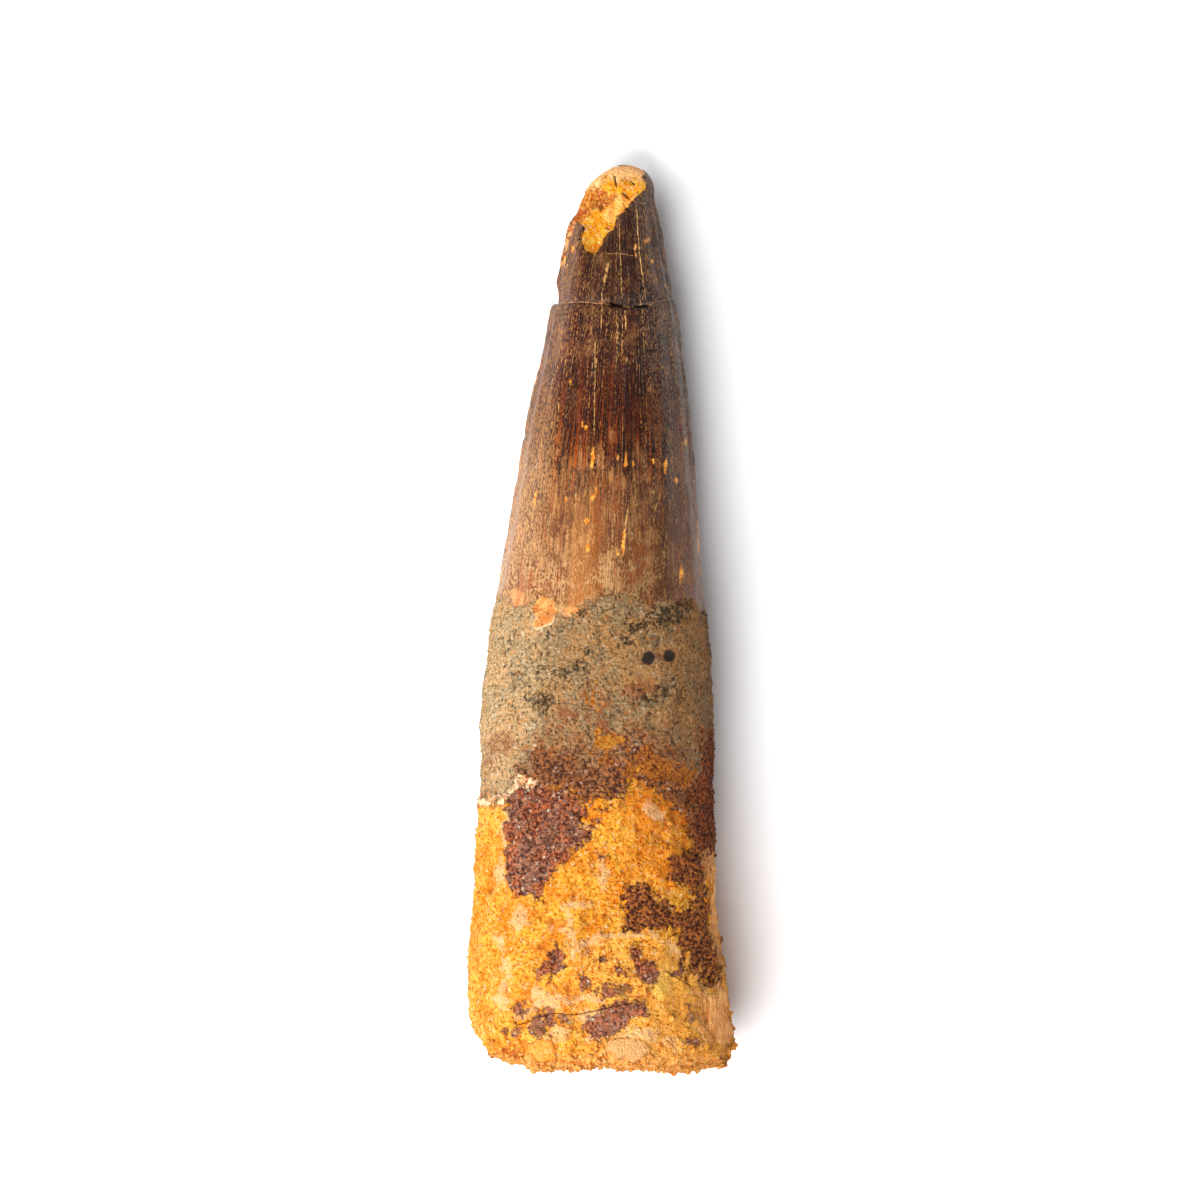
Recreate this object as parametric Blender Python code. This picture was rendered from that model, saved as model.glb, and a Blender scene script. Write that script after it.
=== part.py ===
"""A fossil spinosaurus tooth lying on its side: fluted crown with a chipped tip, sandy crust and root.

The tooth points along +Y and rests on a small flat spot at Z = 0. The origin is under the middle of
its outline. Lengths below are in millimetres and angles in degrees, counted round the tooth from +X
towards +Z. The mesh is in metres.
"""

import math

import bmesh
import bpy
from mathutils import Vector, noise

MM = 0.001

# Driving dimensions
TIP_Y = 45.2
ROOT_Y = -44.7
TIP_DOME = 3.0  # length of the rounded tip

# Sections from the tip to the root end: station, left and right edge, underside and top
SECTIONS = (
    (42.2, -1.9, 4.7, 3.7, 9.1),
    (39.7, -2.9, 5.2, 2.95, 9.9),
    (36.7, -3.5, 5.7, 2.3, 10.8),
    (33.7, -4.2, 6.3, 1.8, 11.6),
    (30.7, -4.8, 7.0, 1.5, 12.3),
    (26.2, -5.7, 7.6, 1.15, 13.3),
    (21.7, -6.8, 8.1, 0.85, 14.2),
    (15.7, -7.9, 8.65, 0.55, 15.3),
    (9.7, -8.95, 9.15, 0.3, 16.3),
    (3.7, -10.1, 9.6, 0.15, 17.3),
    (-2.3, -10.8, 10.05, 0.38, 18.0),
    (-8.3, -11.4, 10.25, 0.38, 18.7),
    (-14.3, -11.65, 10.4, 0.38, 19.3),
    (-22.3, -12.1, 10.6, 0.42, 20.0),
    (-30.3, -12.5, 10.9, 0.6, 20.6),
    (-36.3, -12.7, 11.5, 0.9, 21.0),
    (-40.3, -12.55, 12.2, 1.15, 21.2),
    (-44.7, -12.3, 12.5, 1.6, 21.1),
)
TIP_APEX = (2.3, 6.7)  # X and Z of the point where the dome closes
SQUARENESS = 2.25  # exponent of the sections: 2 is an ellipse

# Crown ridges: angle, height, half width
CROWN_RIDGES = (
    (51, 0.34, 13),
    (133, 0.30, 13),
    (226, 0.24, 14),
    (312, 0.24, 14),
    (2, 0.32, 5),
    (179, 0.34, 5),
)
FLUTES = 14
FLUTE_DEPTH = 0.11
# The ragged edge where the enamel ends and the sandy crust begins: angle and station, round the tooth
CROWN_EDGE = (
    (17, 0.5),
    (33, 1.8),
    (55, 1.7),
    (63, 1.2),
    (70, 2.4),
    (82, 2.6),
    (101, 1.2),
    (107, 0.1),
    (116, 0.5),
    (129, 1.2),
    (148, 0.8),
    (163, 2.0),
    (205, 0.9),
    (240, 2.0),
    (285, 1.2),
    (325, 2.2),
)
CROWN_BASE_Y = 1.4  # where the enamel ends on average
CRUST = 0.55
CRUST_SLOPE = 1.0

CRACK_Y = 31.4
CRACK_SWING = (0.3, 0.25)  # how far the crack swings once and twice round the tooth
CRACK_REACH = 1.5  # how far from the crack the rings swing with it
CRACK_DEPTH = 0.34
CRACK_HALF_WIDTH = 0.28
CRACK_STEP = 0.7  # the left flank stands back just above the crack
CRACK_STEP_LENGTH = 2.4
CRACK_STEP_ANGLE = 180
CRACK_STEP_WIDTH = 34

# The chipped tip, in plan: the outline of the break, its depth and how softly its rim falls
CHIP_OUTLINE = (
    (4.0, 44.1),
    (4.0, 42.8),
    (3.4, 41.9),
    (1.8, 40.2),
    (1.2, 38.5),
    (0.5, 38.0),
    (-0.8, 36.2),
    (-1.5, 36.5),
    (-1.9, 37.6),
    (-1.9, 39.2),
    (-5.0, 40.0),
    (-3.0, 46.0),
    (2.5, 44.9),
)
CHIP_DEPTH = 0.75
CHIP_DEPTH_AT_TIP = 0.25
CHIP_SHALLOWS = (41.2, 43.4)  # stations between which the break grows shallow
CHIP_RIM = 0.7
CHIP_UPPER_SIDE = (4.5, 7.5)  # the break fades out between these heights

# The snapped root corner: outward normal of the break, a point on it, rounding of its edge
CORNER_CHIP = ((-0.80, -0.60, 0.0), (-12.1, -42.6, 10.0), 0.35)

# Lumps: size across, height, and the stations between which they grow to full height
LUMPS = ((6.5, 0.45, 4.0, -14.0), (3.1, 0.34, 1.5, -6.0))
UNDERSIDE_CALM = (40, 75)  # lumps are lost within these angles of the resting side
CHIP_LUMPS = ((1.9, 0.28), (1.0, 0.16))
END_LUMPS = ((7.0, 0.9), (3.6, 0.6))
KNOB_ROOT_Z = 10.0  # knobs grow away from a line along the tooth at this height
KNOB_LEAN = 5.0  # and lean towards the root end
# Knobs: middle, radius and height
KNOBS = (
    (2.6, -43.4, 19.6, 1.7, 0.5),
    (-6.1, -43.1, 19.6, 1.8, 0.45),
    (11.9, -43.0, 10.5, 3.0, 0.6),
    (-8.6, -17.2, 17.3, 1.8, 0.35),
)

# Broken root end: rounding of its rim at the top and at the sides, and its sunken sandy core
RIM_TOP = 2.2
RIM_SIDE = 0.8
RIM_RAGGED = 0.7
RIM_BLEND_Y = -34.0  # rings beyond this follow the ragged rim
CORE_SHARE = 0.62
CORE_DEPTH = 0.9

# Mesh density
AROUND = 56
DOME_RINGS = 7
RING_SPANS = ((42.0, 34.2, 10), (33.6, 32.0, 2), (30.8, 4.6, 16), (4.0, -1.4, 9), (-2.3, -42.5, 27))
CRACK_RINGS = (0.45, 0.22, 0.0, -0.22, -0.45)
END_SHARES = (1.0, 0.98, 0.94, 0.87, 0.77, 0.68, 0.63, 0.58, 0.47, 0.35, 0.24, 0.12)

COLOUR = (0.37, 0.19, 0.075, 1.0)
ROUGHNESS = 0.72
SHARP_ANGLE = 50


def smooth(edge0, edge1, value):
    """Goes smoothly from 0 at edge0 to 1 at edge1."""
    t = min(1.0, max(0.0, (value - edge0) / (edge1 - edge0)))
    return t * t * (3.0 - 2.0 * t)


def angle_apart(a, b):
    """Degrees between two directions round the section."""
    return abs((a - b + 180.0) % 360.0 - 180.0)


def around(angle, height=0.0):
    """A point on a unit circle, so that noise read there closes up round the tooth."""
    return Vector((math.cos(math.radians(angle)), math.sin(math.radians(angle)), height))


def bump(point, across, height):
    """Rounded lumps of about that size, as a height over the surface."""
    return height * noise.noise(point / across)


def section_at(y):
    """Left, right, under and top of the section at a station, on a curve through SECTIONS."""
    last = len(SECTIONS) - 1
    k = 0
    while k < last - 1 and y < SECTIONS[k + 1][0]:
        k += 1
    before, start, end, after = (SECTIONS[min(last, max(0, i))] for i in range(k - 1, k + 3))
    span = end[0] - start[0]
    t = min(1.0, max(0.0, (y - start[0]) / span))
    values = []
    for i in range(1, 5):
        slope_start = span * (end[i] - before[i]) / (end[0] - before[0])
        slope_end = span * (after[i] - start[i]) / (after[0] - start[0])
        values.append(
            start[i] * (1 - t) ** 2 * (1 + 2 * t)
            + end[i] * t * t * (3 - 2 * t)
            + slope_start * t * (1 - t) ** 2
            - slope_end * t * t * (1 - t)
        )
    return values


def crown_edge(angle):
    """Station of the enamel's ragged edge at an angle."""
    after = next((k for k, (at, _) in enumerate(CROWN_EDGE) if at > angle % 360.0), 0)
    (at0, y0), (at1, y1) = CROWN_EDGE[after - 1], CROWN_EDGE[after]
    return y0 + (y1 - y0) * ((angle - at0) % 360.0) / ((at1 - at0) % 360.0)


def crown_share(y, angle):
    """1 on the enamel crown, 0 on the crust and root."""
    edge = crown_edge(angle)
    return smooth(edge - CRUST_SLOPE / 2, edge + CRUST_SLOPE / 2, y)


def crack_swing(y, angle):
    """How far the crack, and with it the rings near it, swings along the tooth at an angle."""
    turn = math.radians(angle)
    swing = CRACK_SWING[0] * math.cos(turn) + CRACK_SWING[1] * math.cos(2 * turn)
    return swing * math.exp(-(((y - CRACK_Y) / CRACK_REACH) ** 2))


def crack_relief(y, angle):
    """The groove of the crack across the crown, and the left flank standing back above it."""
    depth = CRACK_DEPTH * (0.75 + 0.7 * noise.noise(around(angle, 9.0) * 2.2))
    groove = depth * math.exp(-(((y - CRACK_Y) / CRACK_HALF_WIDTH) ** 2))
    beside = math.exp(-((angle_apart(angle, CRACK_STEP_ANGLE) / CRACK_STEP_WIDTH) ** 2))
    above = smooth(0.0, 0.35, y - CRACK_Y) * smooth(CRACK_STEP_LENGTH, 0.5, y - CRACK_Y)
    return -groove - CRACK_STEP * beside * above


def relief(point, angle):
    """Height of the surface over the plain section, along the section's own radius."""
    crown = crown_share(point.y, angle)
    tip_fade = smooth(TIP_Y - 0.5, TIP_Y - 5.0, point.y)
    ridge_fade = smooth(CROWN_BASE_Y, CROWN_BASE_Y + 14.0, point.y) * tip_fade
    height = (1.0 - crown) * CRUST + crack_relief(point.y, angle)
    for at, ridge, width in CROWN_RIDGES:
        height += ridge * ridge_fade * math.exp(-((angle_apart(angle, at) / width) ** 2))
    height += FLUTE_DEPTH * crown * tip_fade * math.cos(math.radians(angle * FLUTES))
    upper = smooth(UNDERSIDE_CALM[0], UNDERSIDE_CALM[1], angle_apart(angle, 270))
    for across, lump, start, full in LUMPS:
        height += smooth(start, full, point.y) * upper * bump(point, across, lump)
    return height


def side_point(y, angle):
    """A point of the tooth's side."""
    left, right, under, top = section_at(y)
    scale, apex_share = 1.0, 0.0
    if y > TIP_Y - TIP_DOME:
        apex_share = 1.0 - (TIP_Y - y) / TIP_DOME
        scale = math.sqrt(max(0.0, 1.0 - apex_share**2))
    centre_x = (left + right) / 2 * (1 - apex_share) + TIP_APEX[0] * apex_share
    centre_z = (under + top) / 2 * (1 - apex_share) + TIP_APEX[1] * apex_share
    c, s = math.cos(math.radians(angle)), math.sin(math.radians(angle))
    reach = scale * (abs(c) ** SQUARENESS + abs(s) ** SQUARENESS) ** (-1.0 / SQUARENESS)
    radial = Vector((c * reach * (right - left) / 2, 0.0, s * reach * (top - under) / 2))
    point = Vector((centre_x, y, centre_z)) + radial
    height = relief(point, angle) * min(1.0, scale * 1.5)
    point.y += crack_swing(y, angle)
    return point + radial.normalized() * height if radial.length > 1e-6 else point


def rim_rounding(angle):
    return RIM_SIDE + (RIM_TOP - RIM_SIDE) * smooth(-0.2, 0.9, math.sin(math.radians(angle)))


def rim_ragged(angle):
    return RIM_RAGGED * noise.noise(around(angle, 7.0) * 2.4)


def side_end(angle):
    """Station where the side ends and the broken end begins to round over."""
    return ROOT_Y + rim_rounding(angle) + rim_ragged(angle)


def follow_rim(y, angle):
    """Station of a side ring, stretched near the root end so that the last one follows the rim."""
    if y > RIM_BLEND_Y:
        return y
    last = RING_SPANS[-1][1]
    return RIM_BLEND_Y + (y - RIM_BLEND_Y) * (side_end(angle) + 0.6 - RIM_BLEND_Y) / (last - RIM_BLEND_Y)


def end_point(share, angle):
    """A point of the broken root end: share is 1 where the side ends and 0 at its middle."""
    left, right, under, top = section_at(ROOT_Y)
    rim = side_point(side_end(angle), angle)
    middle = Vector(((left + right) / 2, rim.y, (under + top) / 2))
    point = middle.lerp(rim, share)
    rounding = rim_rounding(angle)
    into_rim = max(0.0, 1.0 - (1.0 - share) * (rim - middle).length / rounding)
    point.y = ROOT_Y + rim_ragged(angle) * share**2
    point.y += rounding * (1.0 - math.sqrt(1.0 - into_rim**2))
    core_edge = CORE_SHARE + 0.05 * noise.noise(around(angle, 5.0) * 2.0)
    point.y += CORE_DEPTH * smooth(core_edge + 0.05, core_edge - 0.05, share)
    flat = Vector((point.x, ROOT_Y, point.z))
    point.y -= sum(bump(flat, across, height) for across, height in END_LUMPS) * (1.0 - share**3)
    return point


def inside_outline(x, y, outline):
    """Distance from a point to an outline in plan, positive inside it."""
    inside, nearest = False, math.inf
    for (x0, y0), (x1, y1) in zip(outline, outline[1:] + outline[:1]):
        if (y0 > y) != (y1 > y) and x < x0 + (x1 - x0) * (y - y0) / (y1 - y0):
            inside = not inside
        along = ((x - x0) * (x1 - x0) + (y - y0) * (y1 - y0)) / ((x1 - x0) ** 2 + (y1 - y0) ** 2)
        along = min(1.0, max(0.0, along))
        gap = math.hypot(x - x0 - along * (x1 - x0), y - y0 - along * (y1 - y0))
        nearest = min(nearest, gap)
    return nearest if inside else -nearest


def chip_tip(point, inward):
    """Takes the chipped tip's shallow rough break out of the upper side."""
    share = smooth(-CHIP_RIM / 2, CHIP_RIM / 2, inside_outline(point.x, point.y, CHIP_OUTLINE))
    share *= smooth(*CHIP_UPPER_SIDE, point.z)
    rough = sum(bump(point, across, height) for across, height in CHIP_LUMPS)
    near_tip = smooth(*CHIP_SHALLOWS, point.y)
    depth = CHIP_DEPTH + (CHIP_DEPTH_AT_TIP - CHIP_DEPTH) * near_tip
    return point + inward * share * (depth - rough * (1.0 - 0.6 * near_tip))


def chip_corner(point):
    """Moves what stands proud of the snapped root corner back onto its break."""
    normal, on_face, rounding = Vector(CORNER_CHIP[0]), Vector(CORNER_CHIP[1]), CORNER_CHIP[2]
    proud = (point - on_face).dot(normal)
    if proud <= -rounding:
        return point
    kept = -((rounding - proud) ** 2) / (4 * rounding) if proud < rounding else 0.0
    rough = sum(bump(point, across, height) for across, height in CHIP_LUMPS)
    return point - normal * (proud - kept - rough * smooth(0.0, 0.8, proud))


def broken(point):
    """The point with the tip's chip, the snapped corner and the knobs taken in."""
    section = section_at(point.y)
    middle = Vector(((section[0] + section[1]) / 2, point.y, (section[2] + section[3]) / 2))
    inward = (middle - point).normalized()
    point = chip_corner(chip_tip(point, inward))
    for x, y, z, radius, height in KNOBS:
        away = (point - Vector((x, y, z))).length / radius
        if away < 1.0:
            outward = Vector((x, -KNOB_LEAN, z - KNOB_ROOT_Z)).normalized()
            point = point + outward * height * (1.0 - away * away) ** 2
    return point


def ring_functions():
    """One function of the angle for each ring, from the tip to the middle of the root end."""
    turns = [math.pi / 2 * (k + 1) / (DOME_RINGS + 0.5) for k in range(DOME_RINGS)]
    sides = [TIP_Y - TIP_DOME * (1 - math.cos(turn)) for turn in turns]
    sides += [CRACK_Y + offset for offset in CRACK_RINGS]
    for start, end, count in RING_SPANS:
        sides += [start + (end - start) * k / (count - 1) for k in range(count)]
    sides.sort(reverse=True)
    rings = [lambda angle, y=y: side_point(follow_rim(y, angle), angle) for y in sides]
    return rings + [lambda angle, share=share: end_point(share, angle) for share in END_SHARES]


def tooth_mesh():
    """A sphere whose rings are moved to the tooth's own sections, cut flat where it rests."""
    rings = ring_functions()
    bm = bmesh.new()
    bmesh.ops.create_uvsphere(bm, u_segments=AROUND, v_segments=len(rings) + 1, radius=1.0)
    for vert in bm.verts:
        angle = math.degrees(math.atan2(vert.co.y, vert.co.x))
        polar = math.acos(max(-1.0, min(1.0, vert.co.z)))
        ring = round(polar / math.pi * (len(rings) + 1)) - 1
        if ring < 0:
            vert.co = Vector((TIP_APEX[0], TIP_Y, TIP_APEX[1]))
        elif ring >= len(rings):
            vert.co = end_point(0.0, angle)
        else:
            vert.co = broken(rings[ring](angle))
    bmesh.ops.recalc_face_normals(bm, faces=bm.faces)
    cut = bmesh.ops.bisect_plane(
        bm,
        geom=bm.verts[:] + bm.edges[:] + bm.faces[:],
        plane_co=(0, 0, 0),
        plane_no=(0, 0, -1),
        clear_outer=True,
    )
    rim = [e for e in cut["geom_cut"] if isinstance(e, bmesh.types.BMEdge)]
    bmesh.ops.holes_fill(bm, edges=rim, sides=0)
    bmesh.ops.scale(bm, vec=(MM, MM, MM), verts=bm.verts)
    mesh = bpy.data.meshes.new("tooth")
    bm.to_mesh(mesh)
    bm.free()
    return mesh


def centre_outline(mesh):
    """Puts the origin under the middle of the outline, on the surface that the tooth rests on."""
    xs = [v.co.x for v in mesh.vertices]
    ys = [v.co.y for v in mesh.vertices]
    shift = Vector(((min(xs) + max(xs)) / 2, (min(ys) + max(ys)) / 2, 0.0))
    for vert in mesh.vertices:
        vert.co -= shift


def fossil_material():
    material = bpy.data.materials.new("fossil_tooth")
    material.use_nodes = True
    shader = material.node_tree.nodes["Principled BSDF"]
    shader.inputs["Base Color"].default_value = COLOUR
    shader.inputs["Roughness"].default_value = ROUGHNESS
    shader.inputs["Metallic"].default_value = 0.0
    material.diffuse_color = COLOUR
    return material


def main():
    for old in list(bpy.data.objects):
        bpy.data.objects.remove(old)
    collection = bpy.data.collections.new("spinosaurus_tooth")
    bpy.context.scene.collection.children.link(collection)
    mesh = tooth_mesh()
    centre_outline(mesh)
    mesh.shade_smooth()
    mesh.set_sharp_from_angle(angle=math.radians(SHARP_ANGLE))
    mesh.materials.append(fossil_material())
    collection.objects.link(bpy.data.objects.new("tooth", mesh))


main()
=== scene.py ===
"""The look of a fossil spinosaurus tooth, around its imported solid.

The fine surface is sampled from the solid, then given its grain, cracks, pits and colours. Lengths are
in millimetres until a mesh is made. Places on the upper side are given in the photograph's pixels, and
one pixel is a tenth of a millimetre.
"""

import math

import bmesh
import bpy
import numpy as np
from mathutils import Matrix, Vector
from mathutils.bvhtree import BVHTree


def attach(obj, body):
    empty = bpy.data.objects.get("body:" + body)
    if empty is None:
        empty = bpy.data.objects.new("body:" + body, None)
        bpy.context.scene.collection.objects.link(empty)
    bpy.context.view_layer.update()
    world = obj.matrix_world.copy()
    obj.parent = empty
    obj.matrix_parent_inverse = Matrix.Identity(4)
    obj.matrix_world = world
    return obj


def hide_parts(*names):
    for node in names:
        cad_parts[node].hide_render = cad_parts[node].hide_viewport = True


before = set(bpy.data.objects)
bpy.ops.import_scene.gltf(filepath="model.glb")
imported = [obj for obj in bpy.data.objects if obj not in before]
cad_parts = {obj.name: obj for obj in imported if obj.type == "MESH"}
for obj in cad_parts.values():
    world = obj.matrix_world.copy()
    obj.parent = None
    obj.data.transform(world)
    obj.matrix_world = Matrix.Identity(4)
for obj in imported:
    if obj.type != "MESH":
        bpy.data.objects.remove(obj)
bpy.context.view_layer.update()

MM = 0.001
PIXEL = 0.1
PICTURE_CENTRE = 600.0
VIEW_CENTRE = (-0.2, 1.7)  # below the picture's centre
CAMERA_HEIGHT = 609.0
FOCUS_HEIGHT = 9.0  # where a pixel is a tenth of a millimetre

# The fine surface: stations, x and height of its axis, rows from the tip to the root end, and angles
AXIS = (
    (45.0, 2.1, 6.6), (41.5, 1.5, 6.4), (31.0, 1.1, 6.9), (21.7, 0.65, 7.5), (9.7, 0.1, 8.3),
    (-2.0, -0.35, 9.2), (-14.0, -0.6, 9.9), (-28.0, -0.7, 10.5), (-45.0, -0.1, 11.2),
)
TIP_PIVOT = 41.5
ROOT_PIVOT = -38.0
ROOT_END = -44.9
TIP_ROWS = 22
SIDE_SPANS = ((41.5, 33.0, 30), (33.0, 30.3, 22), (30.3, 3.4, 66), (3.4, -38.0, 140))
WALL_ROWS = 20
FACE_ROWS = 30
ROOT_RADIUS = 12.3
AROUND = 298
UPPER_DENSITY = 0.55  # how much closer the angles lie on the upper side

# Grains half sunk in the surface: how many, from and to what radius, how round, and their random seed
SAND = {"count": 7000, "sizes": (0.09, 0.20), "level": 1, "seed": 5}
CRUMBS = {"count": 2200, "sizes": (0.14, 0.42), "level": 2, "seed": 6}

# Stage, in metres and watts; a light is its name, direction, width and power
FLOOR_SIZE = 4.0
FLOOR_COLOUR = (0.84, 0.84, 0.845, 1.0)
FLOOR_ROUGHNESS = 0.9
SENSOR = 36.0
CLIP = (0.01, 20.0)
LIGHT_DISTANCE = 0.8
LIGHTS = (("high_light", (-0.25, -0.43, 1.0), 0.48, 8.7), ("side_light", (-0.82, -0.10, 0.60), 0.40, 6.9))
WORLD_COLOUR = (1.0, 0.97, 0.99, 1.0)
WORLD_HEIGHTS = (0.1, 0.9)
WORLD_STRENGTHS = (0.70, 0.20)

PATCH_SLOPE = 0.6

# Where the enamel ends: angle and station, as in the solid
CROWN_EDGE = (
    (17, 0.5), (33, 1.8), (55, 1.7), (63, 1.2), (70, 2.4), (82, 2.6), (101, 1.2), (107, 0.1), (116, 0.5),
    (129, 1.2), (148, 0.8), (163, 2.0), (205, 0.9), (240, 2.0), (285, 1.2), (325, 2.2),
)

# Outlines, spots and lines on the upper side, in the photograph's pixels. A spot is its middle, half its
# width, half its height, and its tilt in degrees where it has one. A line is its points and half its width.
CHIP = (
    (642, 170), (643, 189), (636, 198), (627, 209), (619, 216), (616, 226), (613, 232), (606, 237),
    (600, 248), (594, 254), (587, 252), (583, 245), (585, 228), (577, 222), (545, 215), (560, 150),
    (630, 140),
)
TIP_CAP = (
    (655, 150), (650, 176), (641, 181), (632, 178), (620, 183), (606, 178), (596, 187), (580, 190),
    (590, 150),
)
ROOT_TOP = (
    (470, 798), (484, 800), (497, 802), (508, 797), (518, 786), (540, 786), (556, 790), (586, 799),
    (605, 799), (625, 797), (627, 780), (634, 777), (644, 782), (653, 794), (667, 799), (686, 811),
    (690, 832), (700, 845), (740, 850),
)
RUST_MAIN = (
    (517, 786), (556, 790), (584, 797), (586, 813), (575, 824), (598, 832), (584, 843), (571, 855),
    (559, 864), (544, 882), (536, 896), (523, 898), (509, 886), (506, 855), (509, 832), (506, 813),
    (512, 797),
)
RUST_BAND = (
    (599, 1007), (624, 1001), (646, 1003), (644, 1015), (628, 1023), (620, 1037), (603, 1039), (587, 1035),
    (579, 1029), (587, 1021), (603, 1017),
)
RUST_SLANT = ((632, 950), (640, 952), (643, 965), (658, 968), (656, 984), (648, 982), (636, 975))
DARK_BAND = (
    (669, 858), (690, 850), (706, 858), (703, 901), (711, 927), (720, 948), (723, 974), (718, 989),
    (703, 980), (701, 966), (693, 972), (685, 960), (683, 946), (677, 931), (654, 925), (624, 929),
    (624, 901), (630, 884), (654, 884), (659, 897), (677, 909), (693, 908), (690, 890), (680, 884),
    (668, 880),
)
RUST_SPOTS = (
    (556, 961, 9, 14, 15), (542, 969, 8, 8), (605, 959, 4, 4), (584, 980, 5, 8, -20), (622, 971, 4, 5),
    (613, 991, 11, 6), (520, 1009, 5, 4), (538, 1027, 8, 8), (548, 1020, 5, 4), (565, 1022, 8, 4, 10),
    (517, 1029, 6, 4), (508, 1031, 3, 3), (690, 1006, 4, 4), (694, 1021, 4, 11), (693, 1041, 8, 4, 10),
    (706, 1048, 4, 3), (681, 971, 5, 5), (602, 857, 5, 5), (596, 825, 4, 6),
)
CREAM_SPOTS = (
    (524, 785, 14, 4), (511, 791, 4, 10, 40), (490, 800, 14, 3), (540, 994, 9, 7), (552, 1008, 8, 4),
    (586, 1020, 14, 5, 8), (640, 1034, 20, 6, -5), (670, 1043, 12, 6, 10), (556, 1036, 16, 5),
    (578, 905, 12, 5), (601, 873, 4, 12), (654, 812, 9, 6, 30), (640, 900, 5, 3), (501, 1000, 8, 6),
    (560, 930, 10, 4), (520, 920, 6, 12), (500, 870, 4, 10), (566, 836, 7, 5), (585, 829, 5, 4),
)
CREAM_STROKES = (
    (((506, 815), (505, 830), (506, 844)), 2.2),
    (((574, 958), (580, 945), (600, 939), (625, 934), (650, 934), (668, 941), (682, 955)), 2.4),
    (((520, 1014), (542, 1003), (560, 1000), (590, 1000), (604, 996)), 3.0),
    (((575, 906), (566, 925), (572, 945)), 2.2),
    (((580, 1018), (595, 1016), (605, 1014)), 3.4),
    (((588, 1040), (612, 1038), (632, 1035), (652, 1040)), 3.0),
    (((500, 940), (508, 975), (500, 1000)), 2.2),
    (((693, 968), (703, 985), (712, 1003)), 1.8),
)
LEDGE_STROKES = (
    (((480, 797), (490, 802), (500, 803), (507, 798)), 4.2),
    (((505, 801), (510, 792), (513, 784)), 4.4),
    (((513, 783), (520, 781), (530, 782)), 5.0),
)
GOLD_SPOTS = (
    (592.5, 461, 1.8, 8, 3), (592, 498, 2.4, 3.0), (587, 521, 2.6, 3.0), (587, 549, 2.6, 3.0),
    (596, 490, 1.4, 2.4), (653, 460, 1.6, 2.8), (664, 466, 1.2, 7), (675, 481, 1.5, 2.6),
    (665, 441, 1.2, 1.8), (683, 442, 1.5, 2.6), (624, 543, 1.5, 10, 5), (535, 500, 1.3, 7, 12),
    (566, 501, 1.3, 2.6), (617, 552, 1.8, 2.8), (679, 575, 1.3, 7), (582, 423, 1.3, 2.8),
    (586, 428, 1.3, 1.8), (571, 382, 1.1, 2.4), (619, 459, 1.0, 3), (626, 461, 0.9, 4), (632, 463, 0.9, 3),
    (578, 243, 1.6, 1.6), (588, 702, 1.6, 9), (595, 700, 1.6, 12), (602, 703, 1.3, 7), (571, 232, 1.6, 4),
    (574, 250, 1.4, 2.4), (566, 262, 1.2, 5), (650, 262, 1.2, 2.2), (655, 280, 1.0, 2.0),
    (609, 742, 15, 6, -8), (597, 733, 4, 6, -20),
)
PEACH_SPOTS = (
    (545, 611, 12, 14, 8), (539, 624, 7, 5), (519, 598, 5.5, 9, -25), (571, 611, 5, 4),
    (635.5, 249, 1.3, 5), (646, 242, 1.4, 3, 30),
)
BEIGE_SPOTS = (
    (600, 459, 4.0, 12, -12), (611, 434, 3.0, 7), (521, 533, 5, 8),
)
REDDISH_SPOTS = (
    (530, 584, 4, 6), (547, 588, 6, 6), (577, 594, 5, 10, 15), (600, 590, 10, 8), (628, 580, 5, 9),
    (647, 599, 4, 8), (640, 560, 5, 16), (588, 702, 5, 14), (596, 702, 4, 12), (606, 700, 4, 8),
    (597, 730, 9, 10, -30), (563, 714, 12, 6), (597, 514, 5, 42), (618, 500, 4, 16), (664, 660, 5, 4),
    (640, 690, 14, 8), (492, 752, 5, 16, 15), (506, 742, 4, 10),
)
WARM_SPOTS = (
    (609, 741, 12, 7, -8), (655, 768, 26, 12), (682, 778, 14, 12), (640, 752, 12, 6), (604, 760, 9, 5),
    (630, 772, 8, 10), (700, 800, 6, 14),
)
DOTS = ((669, 656, 6.2), (648.5, 658, 6.8))
BLACK_SPOTS = (
    (544, 646, 3, 9, 5), (542, 671, 5, 9, 10), (585, 647, 3.5, 4), (564, 672, 6, 5, 30),
    (578, 670, 6, 7, 20), (505, 647, 2, 2.5), (526, 684, 3, 6), (517, 674, 2.5, 3), (538, 701, 7, 6),
    (677, 693, 3, 11), (648, 697, 8, 4, 5), (661, 695, 5, 4), (579, 613, 4, 5), (682, 603, 12, 10),
    (664, 618, 18, 10), (624, 640, 8, 8), (545, 703, 6, 12, 10), (640, 625, 12, 8),
)
LUMP_SPOTS = ((630, 1050, 21, 10), (541, 1049, 14, 9))
SMOOTH_STRIP = (
    (703, 853), (707, 868), (710, 900), (717, 945), (723, 985), (697, 992), (702, 1044), (745, 1044),
    (745, 853),
)
EDGE_DARK = (
    (708, 690), (701, 716), (704, 738), (696, 756), (699, 772), (690, 788), (695, 806), (690, 822),
    (696, 838), (695, 860), (706, 866), (725, 850), (725, 690),
)
LIME_SPOT = (663, 984, 9, 16, 12)
CHIP_HOLLOW = (
    (596, 180), (601, 190), (612, 194), (613, 200), (607, 205), (603, 213), (594, 208), (588, 216),
    (576, 222), (566, 224), (560, 215), (570, 198), (584, 188),
)
CHIP_LIP = (
    (603, 211), (611, 203), (618, 197), (622, 193), (628, 198), (636, 192), (640, 196), (629, 206),
    (623, 212), (616, 221), (610, 224), (604, 219),
)
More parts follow.
